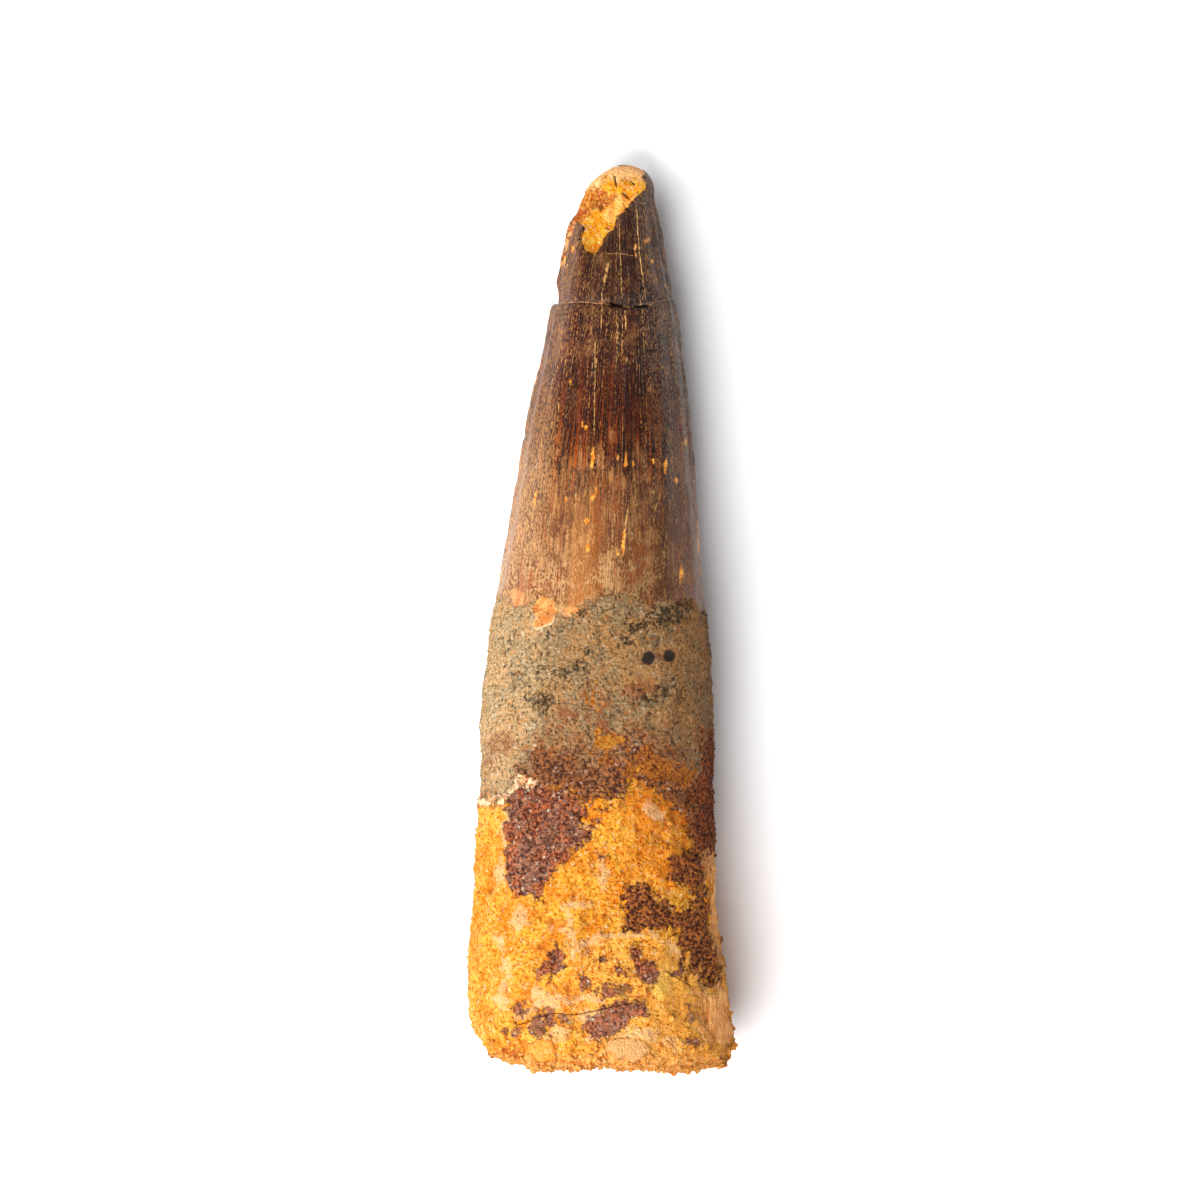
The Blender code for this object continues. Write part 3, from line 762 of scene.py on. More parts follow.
class Shader:
    """Builds the nodes of one material."""

    def __init__(self, name):
        self.material = bpy.data.materials.new(name)
        self.material.use_nodes = True
        self.tree = self.material.node_tree
        self.mm = self.scaled(self.node("ShaderNodeTexCoord", {}, "Object"), (1 / MM,) * 3)

    def node(self, kind, inputs, output=0, **settings):
        node = self.tree.nodes.new(kind)
        for name, value in settings.items():
            setattr(node, name, value)
        for name, value in inputs.items():
            self.set(node.inputs[name], value)
        return node.outputs[output]

    def set(self, socket, value):
        if isinstance(value, bpy.types.NodeSocket):
            self.tree.links.new(value, socket)
        else:
            socket.default_value = value

    def set_surface(self, name, value):
        """Sets one input of the surface."""
        self.set(self.tree.nodes["Principled BSDF"].inputs[name], value)

    def attribute(self, name, output="Fac"):
        return self.node("ShaderNodeAttribute", {}, output, attribute_name=name)

    def math(self, operation, first, second=0.0, clamp=False):
        return self.node("ShaderNodeMath", {0: first, 1: second}, operation=operation, use_clamp=clamp)

    def less(self, first, second, clamp=False):
        return self.math("SUBTRACT", first, second, clamp)

    def times(self, *factors):
        total = factors[0]
        for factor in factors[1:]:
            total = self.math("MULTIPLY", total, factor)
        return total

    def most(self, values):
        total = values[0]
        for value in values[1:]:
            total = self.math("MAXIMUM", total, value)
        return total

    def multiply_add(self, value, factor, addend):
        return self.node("ShaderNodeMath", {0: value, 1: factor, 2: addend}, operation="MULTIPLY_ADD")

    def scaled(self, vector, factors):
        return self.node("ShaderNodeVectorMath", {0: vector, 1: factors}, operation="MULTIPLY")

    def split(self, vector):
        node = self.tree.nodes.new("ShaderNodeSeparateXYZ")
        self.set(node.inputs[0], vector)
        return node.outputs

    def ramp(self, value, low, high, to_low=0.0, to_high=1.0):
        inputs = {"Value": value, "From Min": low, "From Max": high, "To Min": to_low, "To Max": to_high}
        return self.node("ShaderNodeMapRange", inputs, interpolation_type="SMOOTHSTEP")

    def noise(self, scale, detail=2.0, roughness=0.5, vector=None):
        vector = self.mm if vector is None else vector
        inputs = {"Vector": vector, "Scale": scale, "Detail": detail, "Roughness": roughness}
        return self.node("ShaderNodeTexNoise", inputs)

    def stretched(self, vector, factors, detail, roughness=0.5):
        """Noise with its own fineness along each axis."""
        return self.noise(1.0, detail, roughness, self.scaled(vector, factors))

    def cells(self, scale):
        """Distance from each cell's middle, and three numbers of its own."""
        distance = self.node("ShaderNodeTexVoronoi", {"Vector": self.mm, "Scale": scale}, "Distance")
        return distance, self.split(distance.node.outputs["Color"])

    def mix(self, factor, first, second):
        return self.node("ShaderNodeMix", {0: factor, 6: first, 7: second}, 2, data_type="RGBA")

    def mix_values(self, factor, first, second):
        return self.node("ShaderNodeMix", {0: factor, 2: first, 3: second}, data_type="FLOAT")

    def blend(self, value, low, high, first, second):
        """One tone where the value is low, another where it is high."""
        return self.mix(self.ramp(value, low, high), srgb(*first), srgb(*second))

    def stain(self, colour, tone, *factors):
        """A tone laid over the colour, as much as the factors multiplied say."""
        return self.mix(self.times(*factors), colour, srgb(*tone))

    def layered(self, colour, *layers):
        """Tones laid over the colour in turn: what each follows, where it starts and ends, and how much."""
        for value, low, high, amount, tone in layers:
            colour = self.stain(colour, tone, self.ramp(value, low, high, 0.0, amount))
        return colour

    def tint(self, colour, tone, *factors):
        """The colour multiplied by a tone."""
        inputs = {0: self.times(*factors), 6: colour, 7: tone + (1.0,)}
        return self.node("ShaderNodeMix", inputs, 2, data_type="RGBA", blend_type="MULTIPLY")


# How far each edge wanders in pixels, and how soft it is
RAGGEDNESS = {
    "crown": (34.0, 1.0),
    "root": (90.0, 3.0),
    "rust": (30.0, 1.2),
    "dark": (52.0, 1.8),
    "chip": (9.0, 0.7),
    "cap": (22.0, 3.0),
    "cream": (24.0, 3.0),
    "ledge": (12.0, 1.2),
    "warm": (42.0, 3.0),
    "gold": (6.0, 0.8),
    "worn": (9.0, 1.0),
    "peach": (9.0, 0.8),
    "beige": (10.0, 1.6),
    "reddish": (40.0, 3.0),
    "black": (50.0, 2.0),
    "dots": (5.0, 1.4),
    "strip": (60.0, 3.0),
    "lump": (6.0, 1.5),
    "lime": (22.0, 2.0),
    "hollow": (14.0, 1.5),
    "lip": (6.0, 0.8),
    "chip_red": (8.0, 1.0),
}
CALM_PARTS = ("lump", "lip", "cap", "peach", "strip", "ledge")
GRAIN_CELLS = 4.4  # for each millimetre
MATT_ROUGHNESS = 0.88
MATT_SHINE = 0.14


class ToothShader(Shader):
    """The tooth's material, with what its colours share."""

    def __init__(self):
        super().__init__("fossil_tooth")
        x, y, z = self.split(self.mm)
        depth = self.less(CAMERA_HEIGHT, z)
        nearness = self.math("DIVIDE", (CAMERA_HEIGHT - FOCUS_HEIGHT) / PIXEL, depth)
        self.px = self.multiply_add(self.less(x, VIEW_CENTRE[0]), nearness, PICTURE_CENTRE)
        self.py = self.multiply_add(self.less(VIEW_CENTRE[1], y), nearness, PICTURE_CENTRE)
        self.fluted = self.attribute("fluted", "Vector")
        self.cosine = self.times(self.split(self.fluted)[1], -1.0)
        self.dome, self.grains = self.cells(GRAIN_CELLS)
        self.crumbs = self.noise(2.7, 6.0, 0.7)
        self.masks = self.ragged_masks()
        stained = self.math("MAXIMUM", self.masks["rust"], self.masks["dark"])
        self.earthy = self.less(self.masks["root"], stained, clamp=True)
        self.set_grain()

    def ragged_masks(self):
        """Each field as a sharp ragged mask."""
        coarse = self.less(self.noise(1.5, 5.0, 0.7), 0.5)
        masks = {}
        for name, (wander, softness) in RAGGEDNESS.items():
            field = self.multiply_add(coarse, wander, self.attribute(name))
            masks[name] = self.ramp(field, -softness, softness)
        return masks

    def set_grain(self):
        """The lengthwise grain of the enamel, its dust and its hairlines."""
        self.streak = self.stretched(self.fluted, (13.0, 13.0, 2.2), 3.0, 0.55)
        self.fine = self.stretched(self.fluted, (36.0, 36.0, 8.0), 3.0, 0.65)
        self.dust = self.stretched(self.fluted, (54.0, 54.0, 64.0), 3.0, 0.6)
        self.window = self.stretched(self.fluted, (16.0, 16.0, 1.8), 4.0, 0.6)
        film = self.less(self.noise(0.55, 4.0, 0.65), 0.5)
        self.dusty = self.math("ADD", self.dust, self.times(film, 0.9))
        self.drift = self.less(self.math("ADD", self.streak, self.fine), 1.0)
        self.level = self.multiply_add(self.drift, 130.0, self.py)
        self.clear = self.times(self.ramp(self.level, 350.0, 400.0), self.ramp(self.level, 480.0, 440.0))
        waves = [self.stretched(self.fluted, (k, k, 0.7), 1.0) for k in (11.0, 17.0)]
        self.vein = self.math("MINIMUM", *[self.math("ABSOLUTE", self.less(wave, 0.5)) for wave in waves])
        self.hairs = self.times(self.ramp(self.vein, 0.012, 0.005), self.ramp(self.dust, 0.48, 0.57))


def line_mask(shader, wobble, points, half_width):
    """1 along a line seen from above, read across it from a curve through its points."""
    steep = abs(points[-1][1] - points[0][1]) > abs(points[-1][0] - points[0][0])
    course = sorted((y, x) if steep else (x, y) for x, y in points)
    along, across = (shader.py, shader.px) if steep else (shader.px, shader.py)
    start, end = course[0][0], course[-1][0]
    low = min(c for _, c in course) - 1.0
    high = max(c for _, c in course) + 1.0
    curve = shader.tree.nodes.new("ShaderNodeFloatCurve")
    share = shader.node("ShaderNodeMapRange", {"Value": along, "From Min": start, "From Max": end})
    shader.set(curve.inputs["Value"], share)
    knots = curve.mapping.curves[0].points
    for k, (at, value) in enumerate(course):
        place = ((at - start) / (end - start), (value - low) / (high - low))
        if k in (0, len(course) - 1):
            knots[0 if k == 0 else len(knots) - 1].location = place
        else:
            knots.new(*place)
    for knot in knots:
        knot.handle_type = "VECTOR"
    curve.mapping.update()
    centre = shader.multiply_add(curve.outputs[0], high - low, low)
    away = shader.math("ABSOLUTE", shader.less(shader.math("ADD", across, wobble), centre))
    on_line = shader.ramp(away, half_width * 1.3, half_width * 0.5)
    fade = (end - start) * 0.12
    from_start = shader.ramp(along, start - 0.5, start + fade)
    return shader.times(on_line, from_start, shader.ramp(along, end + 0.5, end - fade))


def enamel_ground(shader):
    """Dark above with amber showing through it, then brown, then tan and worn towards its base."""
    ramp, level = shader.ramp, shader.level
    colour = shader.blend(shader.streak, 0.38, 0.62, (37, 11, 4), (70, 23, 8))
    glow = shader.times(ramp(level, 330.0, 430.0, 0.25, 1.0), ramp(shader.window, 0.50, 0.56), 0.92)
    colour = shader.mix(glow, colour, shader.blend(level, 400.0, 455.0, (104, 38, 5), (160, 78, 13)))
    ember = (ramp(level, 370.0, 420.0), ramp(level, 480.0, 450.0), ramp(shader.streak, 0.46, 0.56))
    colour = shader.stain(colour, (92, 34, 10), *ember, 0.25)
    colour = shader.layered(colour, (level, 300.0, 270.0, 0.3, (70, 40, 21)))
    brown = shader.blend(shader.fine, 0.40, 0.60, (92, 46, 19), (146, 96, 48))
    colour = shader.mix(ramp(level, 440.0, 500.0), colour, brown)
    base = shader.blend(shader.dusty, 0.42, 0.58, (134, 82, 40), (184, 144, 94))
    return shader.mix(ramp(level, 510.0, 600.0), colour, base)


# Flanks of the crown, a worn film with painted sheen and shade: drift of the edge, its cosines, amount,
# levels, upper tones and lower tones
# Left tones are a paler worn film lightened by painted reflection; right tones are a grey painted sheen,
# darker lower down.
LEFT_TONES = ((58, 32, 19), (138, 84, 48)), ((126, 84, 50), (194, 148, 94))
RIGHT_TONES = ((38, 28, 24), (104, 84, 68)), ((34, 12, 2), (80, 38, 7))
FLANKS = (
    (0.5, (-0.55, -0.78), 0.75, (345.0, 500.0), *LEFT_TONES),
    (0.4, (0.40, 0.62), 0.6, (440.0, 540.0), *RIGHT_TONES),
)


def enamel_flanks(shader, colour):
    """Speckled worn film with painted sheen and shade where the crown turns away: paler on the left, grey
    and darker on the right.
    """
    for wander, turn, amount, levels, upper, lower in FLANKS:
        edge = shader.ramp(shader.multiply_add(shader.drift, wander, shader.cosine), *turn)
        tones = [shader.blend(shader.dust, 0.43, 0.55, *pair) for pair in (upper, lower)]
        tone = shader.mix(shader.ramp(shader.level, *levels), *tones)
        colour = shader.mix(shader.times(edge, amount), colour, tone)
    return colour


def enamel_marks(shader, colour):
    """Dust and hollows, hairlines with a dark edge, and reddish, beige and golden streaks."""
    ramp, stain, masks = shader.ramp, shader.stain, shader.masks
    level, fine, dust, dusty, vein = shader.level, shader.fine, shader.dust, shader.dusty, shader.vein
    colour = stain(colour, (156, 106, 58), ramp(dusty, 0.55, 0.60), ramp(shader.clear, 0.0, 1.0, 0.44, 0.22))
    shade = shader.blend(level, 460.0, 540.0, (28, 10, 3), (98, 52, 20))
    colour = shader.mix(ramp(dusty, 0.48, 0.40, 0.0, 0.65), colour, shade)
    colour = stain(colour, (212, 156, 86), shader.hairs, ramp(level, 440.0, 560.0, 0.85, 0.35))
    colour = stain(colour, (30, 11, 5), ramp(vein, 0.010, 0.016), ramp(vein, 0.035, 0.020), 0.5)
    colour = stain(colour, (128, 64, 21), masks["reddish"], ramp(fine, 0.42, 0.53, 0.25, 0.9))
    colour = stain(colour, (178, 128, 82), masks["beige"], ramp(dust, 0.40, 0.52, 0.15, 0.75))
    dashes = (ramp(level, 470.0, 500.0), ramp(shader.window, 0.56, 0.62), ramp(fine, 0.44, 0.54))
    colour = stain(colour, (134, 58, 22), *dashes, 0.6)
    return stain(colour, (218, 150, 72), ramp(fine, 0.65, 0.71), ramp(dust, 0.52, 0.60), 0.6)


def enamel_colour(shader):
    """The enamel with its darker ridge, painted shade on its upper middle and right side, and painted light
    on the slope left of middle near its base.
    """
    ramp, tint, cosine, py = shader.ramp, shader.tint, shader.cosine, shader.py
    colour = enamel_marks(shader, enamel_flanks(shader, enamel_ground(shader)))
    middle = shader.times(ramp(cosine, 0.75, 0.5), ramp(cosine, -0.6, -0.2, 0.4, 1.0))
    colour = tint(colour, (0.66, 0.50, 0.34), shader.clear, middle)
    # Painted shade over the upper crown's middle, deepest towards the right.
    upper = (ramp(py, 345.0, 295.0), middle, ramp(cosine, -0.4, 0.2, 0.5, 1.0))
    colour = tint(colour, (0.66, 0.67, 0.70), *upper)
    # Painted shade on the right side, low on the crown.
    colour = tint(colour, (0.80, 0.72, 0.60), ramp(cosine, 0.5, 0.75), ramp(py, 430.0, 500.0))
    # Painted shade where the crown turns to the right.
    turned = (ramp(cosine, 0.02, 0.36), ramp(cosine, 0.78, 0.62), ramp(py, 325.0, 350.0))
    colour = tint(colour, (0.73, 0.74, 0.75), *turned)
    # Painted light on the slope left of the middle, low on the crown.
    painted_light = (ramp(cosine, 0.0, -0.16), ramp(cosine, -0.42, -0.30), ramp(py, 470.0, 550.0))
    return shader.stain(colour, (222, 148, 72), *painted_light, 0.22)


def sand_colour(shader):
    """Grey-tan sandstone, each grain its own tone, paler with painted light on the left and darker with
    painted shade on the right.
    """
    ramp, cosine, crumbs, grains = shader.ramp, shader.cosine, shader.crumbs, shader.grains
    colour = shader.blend(shader.noise(0.28, 4.0, 0.62), 0.40, 0.58, (180, 148, 105), (220, 163, 101))
    # Painted light: paler and brighter where the sand turns to the left.
    colour = shader.layered(colour, (cosine, -0.30, -0.80, 0.55, (202, 158, 108)))
    lit = (ramp(cosine, 0.10, -0.10), ramp(cosine, -0.75, -0.55))
    colour = shader.stain(colour, (246, 198, 140), *lit, 0.22)
    colour = shader.layered(
        colour,
        (crumbs, 0.53, 0.64, 0.6, (242, 198, 145)),
        (crumbs, 0.46, 0.37, 0.85, (92, 64, 38)),
        (grains[0], 0.92, 0.98, 0.6, (246, 220, 188)),
        (grains[1], 0.86, 0.96, 0.6, (83, 64, 47)),
        (grains[2], 0.84, 0.95, 0.6, (218, 139, 66)),
    )
    # Painted light brightens the left side and painted shade darkens the right.
    colour = shader.tint(colour, (1.46, 1.62, 1.78), ramp(cosine, -0.30, -0.80))
    colour = shader.tint(colour, (0.78, 0.72, 0.70), ramp(cosine, 0.40, 0.85))
    marks = shader.stretched(shader.mm, (3.0, 0.9, 3.0), 3.0, 0.6)
    return shader.layered(colour, (marks, 0.63, 0.68, 0.85, (62, 50, 34)))


def band_colour(shader):
    """The brown band of darker grains below the grey crust."""
    return shader.layered(
        shader.blend(shader.crumbs, 0.40, 0.60, (88, 50, 34), (206, 132, 84)),
        (shader.grains[1], 0.76, 0.92, 0.7, (68, 40, 31)),
        (shader.grains[0], 0.96, 0.99, 0.7, (242, 200, 183)),
        (shader.grains[2], 0.80, 0.92, 0.7, (220, 124, 48)),
    )


def ochre_colour(shader):
    """Yellow ochre with deeper orange and cream."""
    ramp, px, py, crumbs, grains = shader.ramp, shader.px, shader.py, shader.crumbs, shader.grains
    blotch = shader.noise(0.9, 4.0, 0.65)
    colour = shader.layered(
        shader.blend(shader.noise(0.30, 4.0, 0.62), 0.40, 0.60, (233, 141, 25), (243, 174, 53)),
        (blotch, 0.53, 0.68, 0.7, (238, 176, 92)),
        (blotch, 0.46, 0.34, 0.65, (210, 110, 18)),
        (crumbs, 0.53, 0.64, 0.65, (246, 190, 110)),
    )
    lower = (ramp(py, 925.0, 965.0), ramp(px, 560.0, 605.0, 0.2, 1.0), ramp(px, 712.0, 690.0))
    colour = shader.layered(
        shader.stain(colour, (255, 186, 84), *lower, 0.6),
        (crumbs, 0.51, 0.43, 0.6, (228, 118, 20)),
        (crumbs, 0.46, 0.37, 0.85, (176, 78, 14)),
        (grains[0], 0.93, 0.99, 0.5, (246, 218, 176)),
    )
    colour = shader.tint(colour, (0.86, 0.72, 0.58), ramp(px, 618.0, 650.0), ramp(py, 890.0, 860.0))
    return shader.layered(colour, (grains[1], 0.92, 0.99, 0.5, (124, 62, 22)))


def rust_colour(shader):
    """Rust-stained grains, paler near the root end."""
    pale = shader.blend(shader.noise(0.5, 3.0, 0.6), 0.42, 0.6, (255, 142, 84), (230, 158, 120))
    return shader.layered(
        shader.mix(shader.ramp(shader.crumbs, 0.38, 0.62), srgb(98, 48, 36), pale),
        (shader.py, 960.0, 1000.0, 0.35, (244, 158, 116)),
        (shader.grains[1], 0.80, 0.92, 0.7, (69, 42, 39)),
        (shader.grains[2], 0.88, 0.95, 0.5, (189, 169, 156)),
        (shader.grains[0], 0.965, 0.99, 0.8, (255, 246, 212)),
    )


def dark_colour(shader):
    """Dark iron-stained grains with orange ones among them, with painted shade where they turn to the right
    above the root.
    """
    colour = shader.layered(
        shader.blend(shader.crumbs, 0.42, 0.60, (74, 36, 26), (232, 138, 72)),
        (shader.grains[1], 0.80, 0.93, 0.7, (52, 27, 22)),
        (shader.grains[2], 0.82, 0.94, 0.75, (225, 129, 50)),
    )
    # Painted shade where the grains turn to the right, in the upper part.
    edge = (shader.ramp(shader.cosine, 0.55, 0.85), shader.ramp(shader.py, 885.0, 850.0))
    return shader.tint(colour, (0.76, 0.64, 0.68), *edge)


def chip_colour(shader):
    """Orange crystalline dentine: a brown hollow, red stains, a smooth paler lip and a pale cap."""
    masks, crumbs = shader.masks, shader.crumbs
    tone = shader.noise(1.1, 3.0, 0.6)
    colour = shader.layered(
        shader.blend(tone, 0.42, 0.60, (255, 156, 20), (255, 188, 56)),
        (crumbs, 0.54, 0.66, 0.7, (255, 224, 158)),
        (crumbs, 0.45, 0.37, 0.75, (190, 84, 12)),
    )
    hollow = shader.blend(crumbs, 0.42, 0.58, (172, 80, 22), (246, 166, 74))
    colour = shader.mix(shader.times(masks["hollow"], 0.8), colour, hollow)
    colour = shader.stain(colour, (206, 92, 54), masks["chip_red"], 0.55)
    colour = shader.layered(colour, (shader.grains[0], 0.92, 0.97, 0.45, (255, 234, 190)))
    lip = shader.blend(tone, 0.40, 0.60, (226, 144, 58), (234, 166, 88))
    colour = shader.mix(shader.times(masks["lip"], 0.9), colour, lip)
    cap = shader.mix(shader.noise(1.0, 4.0), srgb(222, 150, 84), srgb(242, 192, 130))
    return shader.mix(masks["cap"], colour, cap)


def end_colour(shader):
    """The broken end: sandy filling inside ochre dentine, dark where they meet."""
    patchy = shader.noise(0.5, 3.0, 0.6)
    ring = shader.layered(
        shader.blend(shader.crumbs, 0.40, 0.60, (186, 104, 34), (238, 172, 88)),
        (patchy, 0.50, 0.62, 0.6, (206, 132, 54)),
    )
    core = shader.layered(
        shader.blend(shader.crumbs, 0.40, 0.60, (122, 86, 56), (214, 172, 126)),
        (patchy, 0.48, 0.60, 0.7, (178, 116, 62)),
        (shader.grains[1], 0.84, 0.95, 0.6, (70, 46, 32)),
    )
    share = shader.multiply_add(shader.less(patchy, 0.5), 1.6, shader.attribute("core"))
    colour = shader.mix(shader.ramp(share, 0.4, 0.6), ring, core)
    seam = (shader.ramp(share, 0.2, 0.5), shader.ramp(share, 0.85, 0.5))
    return shader.stain(colour, (96, 52, 28), *seam, 0.6)


def lump_colour(shader):
    """The two smooth lumps on the root's rim, finely lined."""
    lined = shader.stretched(shader.mm, (1.2, 5.0, 1.2), 3.0, 0.6)
    colour = shader.layered(
        shader.blend(shader.px, 570.0, 600.0, (206, 131, 49), (190, 140, 86)),
        (lined, 0.52, 0.64, 0.4, (224, 184, 132)),
    )
    return shader.tint(colour, (0.92, 0.80, 0.64), shader.ramp(shader.attribute("lump"), 3.5, 0.0))


def root_colour(shader):
    """Ochre with cream veins, a mottled rim, smooth lumps, rust stains, a pale ledge and the broken end."""
    ramp, mix, stain, px, py = shader.ramp, shader.mix, shader.stain, shader.px, shader.py
    masks, crumbs = shader.masks, shader.crumbs
    root = stain(ochre_colour(shader), (240, 196, 144), masks["cream"], 0.6)
    root = stain(root, (255, 206, 98), masks["lime"], 0.7)
    root = stain(root, (255, 176, 72), ramp(px, 640.0, 680.0), ramp(py, 940.0, 975.0), 0.28)
    rim = ramp(shader.multiply_add(crumbs, 30.0, py), 1064.0, 1078.0, 0.0, 0.5)
    root = mix(rim, root, shader.blend(crumbs, 0.42, 0.58, (212, 118, 46), (248, 188, 120)))
    root = mix(masks["lump"], root, lump_colour(shader))
    root = mix(masks["rust"], root, rust_colour(shader))
    root = stain(root, (236, 190, 148), masks["ledge"], 0.9)
    return mix(shader.times(shader.attribute("broken_end"), 0.8), root, end_colour(shader))


def crust_colour(shader):
    """All below the crown: sand, the brown band, the root, and the stains that lie on them."""
    ramp, mix, times, stain = shader.ramp, shader.mix, shader.times, shader.stain
    masks, crumbs = shader.masks, shader.crumbs
    near_root = shader.multiply_add(shader.noise(0.8, 5.0, 0.75), 170.0, shader.attribute("root"))
    near_root = shader.math("ADD", near_root, ramp(shader.cosine, -0.45, -0.80, 0.0, -60.0))
    crust = mix(ramp(near_root, 0.0, 62.0), sand_colour(shader), band_colour(shader))
    crust = stain(crust, (178, 94, 50), masks["reddish"], 0.6)
    warm = shader.blend(crumbs, 0.40, 0.60, (170, 82, 24), (232, 142, 52))
    crust = mix(times(masks["warm"], ramp(crumbs, 0.38, 0.50, 0.35, 0.9)), crust, warm)
    crust = mix(masks["root"], crust, root_colour(shader))
    crust = mix(masks["dark"], crust, dark_colour(shader))
    lined = shader.stretched(shader.mm, (5.0, 0.5, 5.0), 4.0, 0.65)
    strip = shader.blend(lined, 0.40, 0.58, (190, 114, 60), (234, 174, 106))
    crust = mix(times(masks["strip"], masks["root"], ramp(crumbs, 0.36, 0.46, 0.5, 0.9)), crust, strip)
    crust = stain(crust, (52, 42, 29), masks["black"], ramp(crumbs, 0.62, 0.45, 0.1, 0.85))
    return stain(crust, (30, 33, 36), masks["dots"], 0.93)


def with_flecks(shader, colour):
    """Peach and golden patches, and the worn edges of the crown."""
    ramp, mix, times, py = shader.ramp, shader.mix, shader.times, shader.py
    masks, crumbs = shader.masks, shader.crumbs
    peach = shader.blend(shader.noise(1.8, 4.0, 0.65), 0.4, 0.6, (200, 112, 48), (222, 154, 86))
    low_edge = (ramp(shader.attribute("peach"), 2.2, 0.4), ramp(py, 612.0, 622.0), ramp(py, 700.0, 690.0))
    peach = shader.stain(peach, (255, 226, 178), *low_edge, 0.85)
    colour = mix(times(masks["peach"], ramp(shader.px, 524.0, 534.0, 0.45, 0.94)), colour, peach)
    gold = shader.blend(crumbs, 0.4, 0.6, (206, 104, 20), (250, 178, 66))
    colour = mix(times(masks["gold"], 0.9), colour, gold)
    worn = shader.blend(crumbs, 0.44, 0.56, (104, 56, 30), (224, 150, 88))
    return mix(times(masks["worn"], ramp(crumbs, 0.42, 0.50, 0.1, 0.95)), colour, worn)


def with_lines(shader, colour):
    """Hairlines, the cross crack and dark lines over the colour, and a mask of the dark ones."""
    wobble = shader.times(shader.less(shader.noise(1.4, 3.0, 0.6), 0.5), 3.5)
    seen = shader.attribute("seen")
    pale = shader.most([line_mask(shader, wobble, *line) for line in PALE_LINES])
    crack = line_mask(shader, wobble, *CRACK_LINE)
    dark = shader.most([line_mask(shader, wobble, *line) for line in DARK_LINES + (TIP_CRACK,)])
    pale_parts = shader.ramp(shader.crumbs, 0.44, 0.54, 0.15, 0.9)
    crack_parts = shader.ramp(shader.crumbs, 0.44, 0.54, 0.2, 0.8)
    colour = shader.stain(colour, (208, 158, 90), pale, seen, pale_parts)
    colour = shader.stain(colour, (190, 138, 88), crack, crack_parts)
    dark = shader.times(dark, seen)
    return shader.stain(colour, (30, 12, 6), dark, 0.95), dark


def with_shaded_pits(shader, colour):
    """Painted shade in sunken places, in a redder tone on the root and in the chip."""
    masks = shader.masks
    sunken = shader.ramp(shader.attribute("height"), -0.12, -0.45, 0.0, 0.7)
    sunken = shader.times(sunken, shader.multiply_add(masks["chip"], -0.6, 1.0))
    red_parts = shader.math("MAXIMUM", shader.earthy, masks["chip"])
    return shader.mix(sunken, colour, shader.mix(red_parts, srgb(80, 40, 18), srgb(166, 78, 20)))


def surface_height(shader, glossy, dark_lines):
    """Fine relief: ridges on the enamel, grains and crumbs elsewhere, and sunken dark lines."""
    masks = shader.masks
    calm = shader.most([masks[name] for name in CALM_PARTS])
    coarseness = shader.multiply_add(shader.earthy, -1.48, 2.1)
    coarseness = shader.times(coarseness, shader.multiply_add(masks["chip"], -0.6, 1.0))
    coarseness = shader.times(coarseness, shader.multiply_add(calm, -0.8, 1.0))
    sandy = shader.multiply_add(shader.dome, -0.12, shader.times(shader.crumbs, coarseness))
    ridges = shader.times(shader.fine, shader.ramp(shader.level, 520.0, 600.0, 0.13, 0.05))
    ridges = shader.multiply_add(shader.hairs, 0.02, shader.multiply_add(shader.dust, 0.13, ridges))
    return shader.less(shader.mix_values(glossy, sandy, ridges), shader.times(dark_lines, 0.08))


def tooth_material():
    shader = ToothShader()
    masks = shader.masks
    colour = shader.mix(masks["crown"], crust_colour(shader), enamel_colour(shader))
    colour = shader.mix(masks["chip"], with_flecks(shader, colour), chip_colour(shader))
    colour, dark_lines = with_lines(shader, colour)
    shader.set_surface("Base Color", with_shaded_pits(shader, colour))
    enamel = shader.less(masks["crown"], masks["chip"], clamp=True)
    polish = shader.ramp(shader.crumbs, 0.3, 0.7, 0.24, 0.42)
    shader.set_surface("Roughness", shader.mix_values(enamel, MATT_ROUGHNESS, polish))
    glossy = shader.less(enamel, dark_lines, clamp=True)
    shine = shader.ramp(shader.clear, 0.0, 1.0, 0.23, 0.15)
    shader.set_surface("Specular IOR Level", shader.mix_values(glossy, MATT_SHINE, shine))
    height = surface_height(shader, glossy, dark_lines)
    bump = shader.node("ShaderNodeBump", {"Height": height, "Strength": 1.0, "Distance": MM})
    shader.set_surface("Normal", bump)
    return shader.material


def plain_material(name, colour, roughness):
    shader = Shader(name)
    shade = tuple(c * 0.995 for c in colour[:3]) + (1.0,)
    shader.set_surface("Base Color", shader.mix(shader.noise(0.02), colour, shade))
    shader.set_surface("Roughness", roughness)
    return shader.material


# Stage


def add_floor():
    half = FLOOR_SIZE / 2
    mesh = bpy.data.meshes.new("floor")
    corners = [(-half, -half, 0), (half, -half, 0), (half, half, 0), (-half, half, 0)]
    mesh.from_pydata(corners, [], [(0, 1, 2, 3)])
    mesh.materials.append(plain_material("pale_floor", FLOOR_COLOUR, FLOOR_ROUGHNESS))
    linked("floor", mesh)


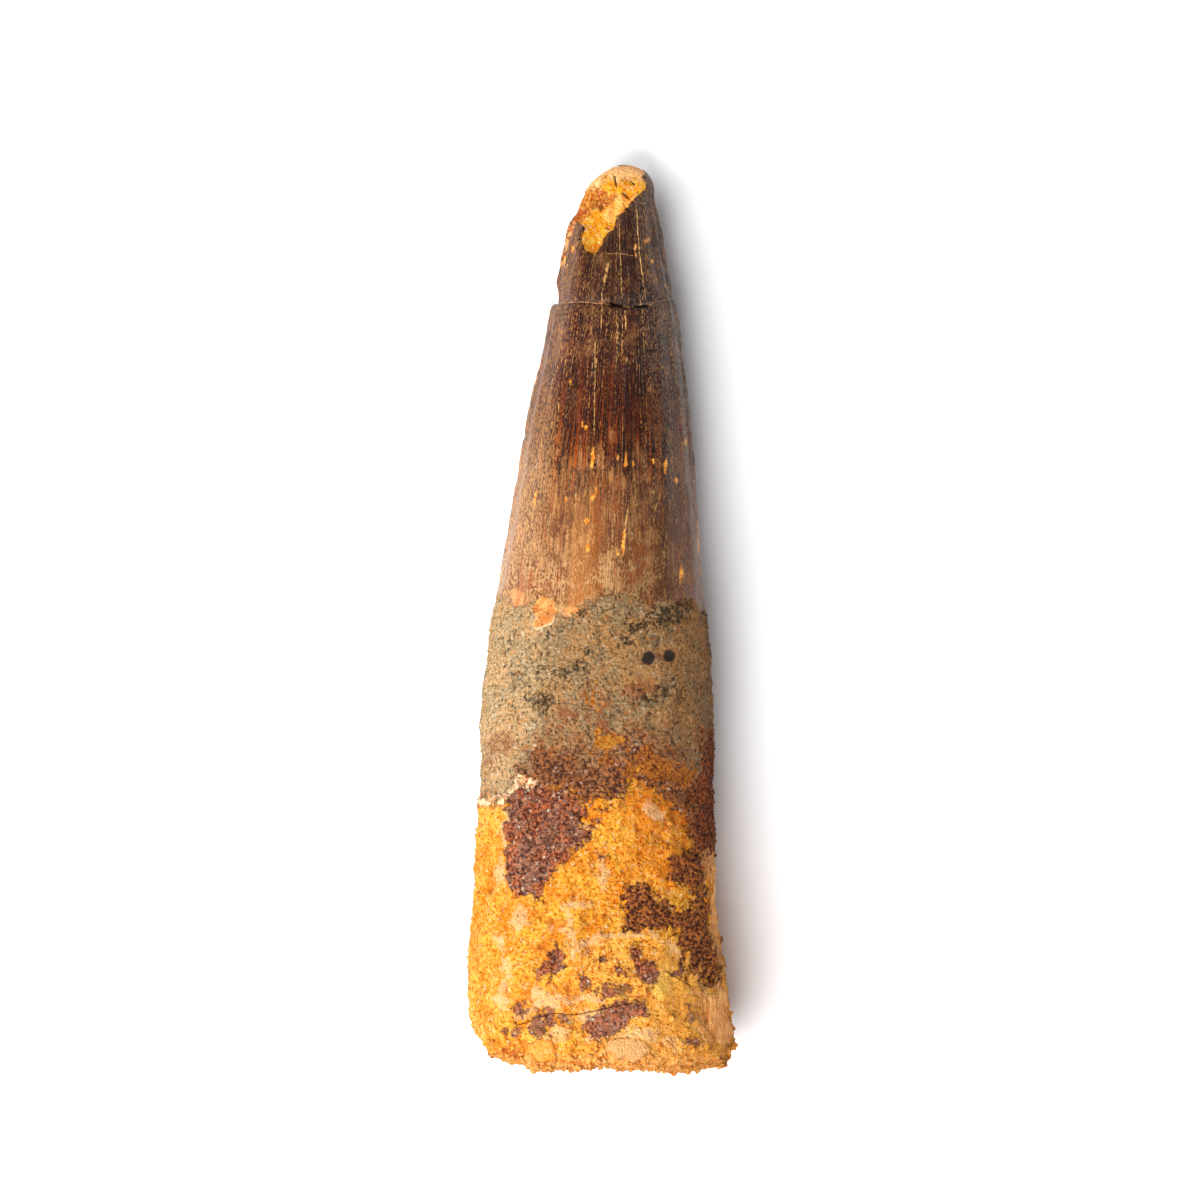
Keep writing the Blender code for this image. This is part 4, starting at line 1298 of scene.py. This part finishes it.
def add_camera():
    data = bpy.data.cameras.new("camera")
    data.sensor_width = SENSOR
    data.lens = SENSOR * (CAMERA_HEIGHT - FOCUS_HEIGHT) / (2.0 * PICTURE_CENTRE * PIXEL)
    data.clip_start, data.clip_end = CLIP
    camera = linked("camera", data)
    camera.location = (VIEW_CENTRE[0] * MM, VIEW_CENTRE[1] * MM, CAMERA_HEIGHT * MM)
    bpy.context.scene.camera = camera


def add_softbox(name, direction, size, power):
    data = bpy.data.lights.new(name, "AREA")
    data.shape = "DISK"
    data.size = size
    data.energy = power
    light = linked(name, data)
    towards = Vector(direction).normalized()
    light.location = towards * LIGHT_DISTANCE
    light.rotation_euler = towards.to_track_quat("Z", "Y").to_euler()


def add_world():
    """Pale surroundings, brightest near the horizon."""
    world = bpy.data.worlds.new("studio")
    world.use_nodes = True
    tree = world.node_tree
    background = tree.nodes["Background"]
    place = tree.nodes.new("ShaderNodeTexCoord")
    parts = tree.nodes.new("ShaderNodeSeparateXYZ")
    ramp = tree.nodes.new("ShaderNodeMapRange")
    for name, value in zip(("From Min", "From Max", "To Min", "To Max"), WORLD_HEIGHTS + WORLD_STRENGTHS):
        ramp.inputs[name].default_value = value
    tree.links.new(place.outputs["Generated"], parts.inputs[0])
    tree.links.new(parts.outputs["Z"], ramp.inputs["Value"])
    tree.links.new(ramp.outputs[0], background.inputs["Strength"])
    background.inputs["Color"].default_value = WORLD_COLOUR
    bpy.context.scene.world = world


def set_view():
    view = bpy.context.scene.view_settings
    view.view_transform = "Standard"
    view.look = "None"
    view.exposure = 0.0
    view.gamma = 1.0


surface = Surface()
fields = painted_fields(surface)
relief = relief_of(surface, fields)
points = surface.points + surface.normals * (relief * smooth(0.0, 0.5, surface.z))[..., None]
points[..., 0] = np.maximum(points[..., 0], corner_limit(surface))
points[..., 2] = np.maximum(points[..., 2], 0.0)
values = painted_values(surface, fields, relief)
tooth = tooth_piece(surface, points, values)
sand_weight, crumb_weight = grain_weights(surface, fields)
sand = grains_piece("sand_grains", surface, points, values, sand_weight, **SAND)
crumbs = grains_piece("root_crumbs", surface, points, values, crumb_weight, **CRUMBS)
coat = tooth_material()
for piece in (tooth, sand, crumbs):
    piece.data.materials.append(coat)
    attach(piece, "root")
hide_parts("tooth")

add_floor()
add_camera()
add_world()
for name, direction, size, power in LIGHTS:
    add_softbox(name, direction, size, power)
set_view()
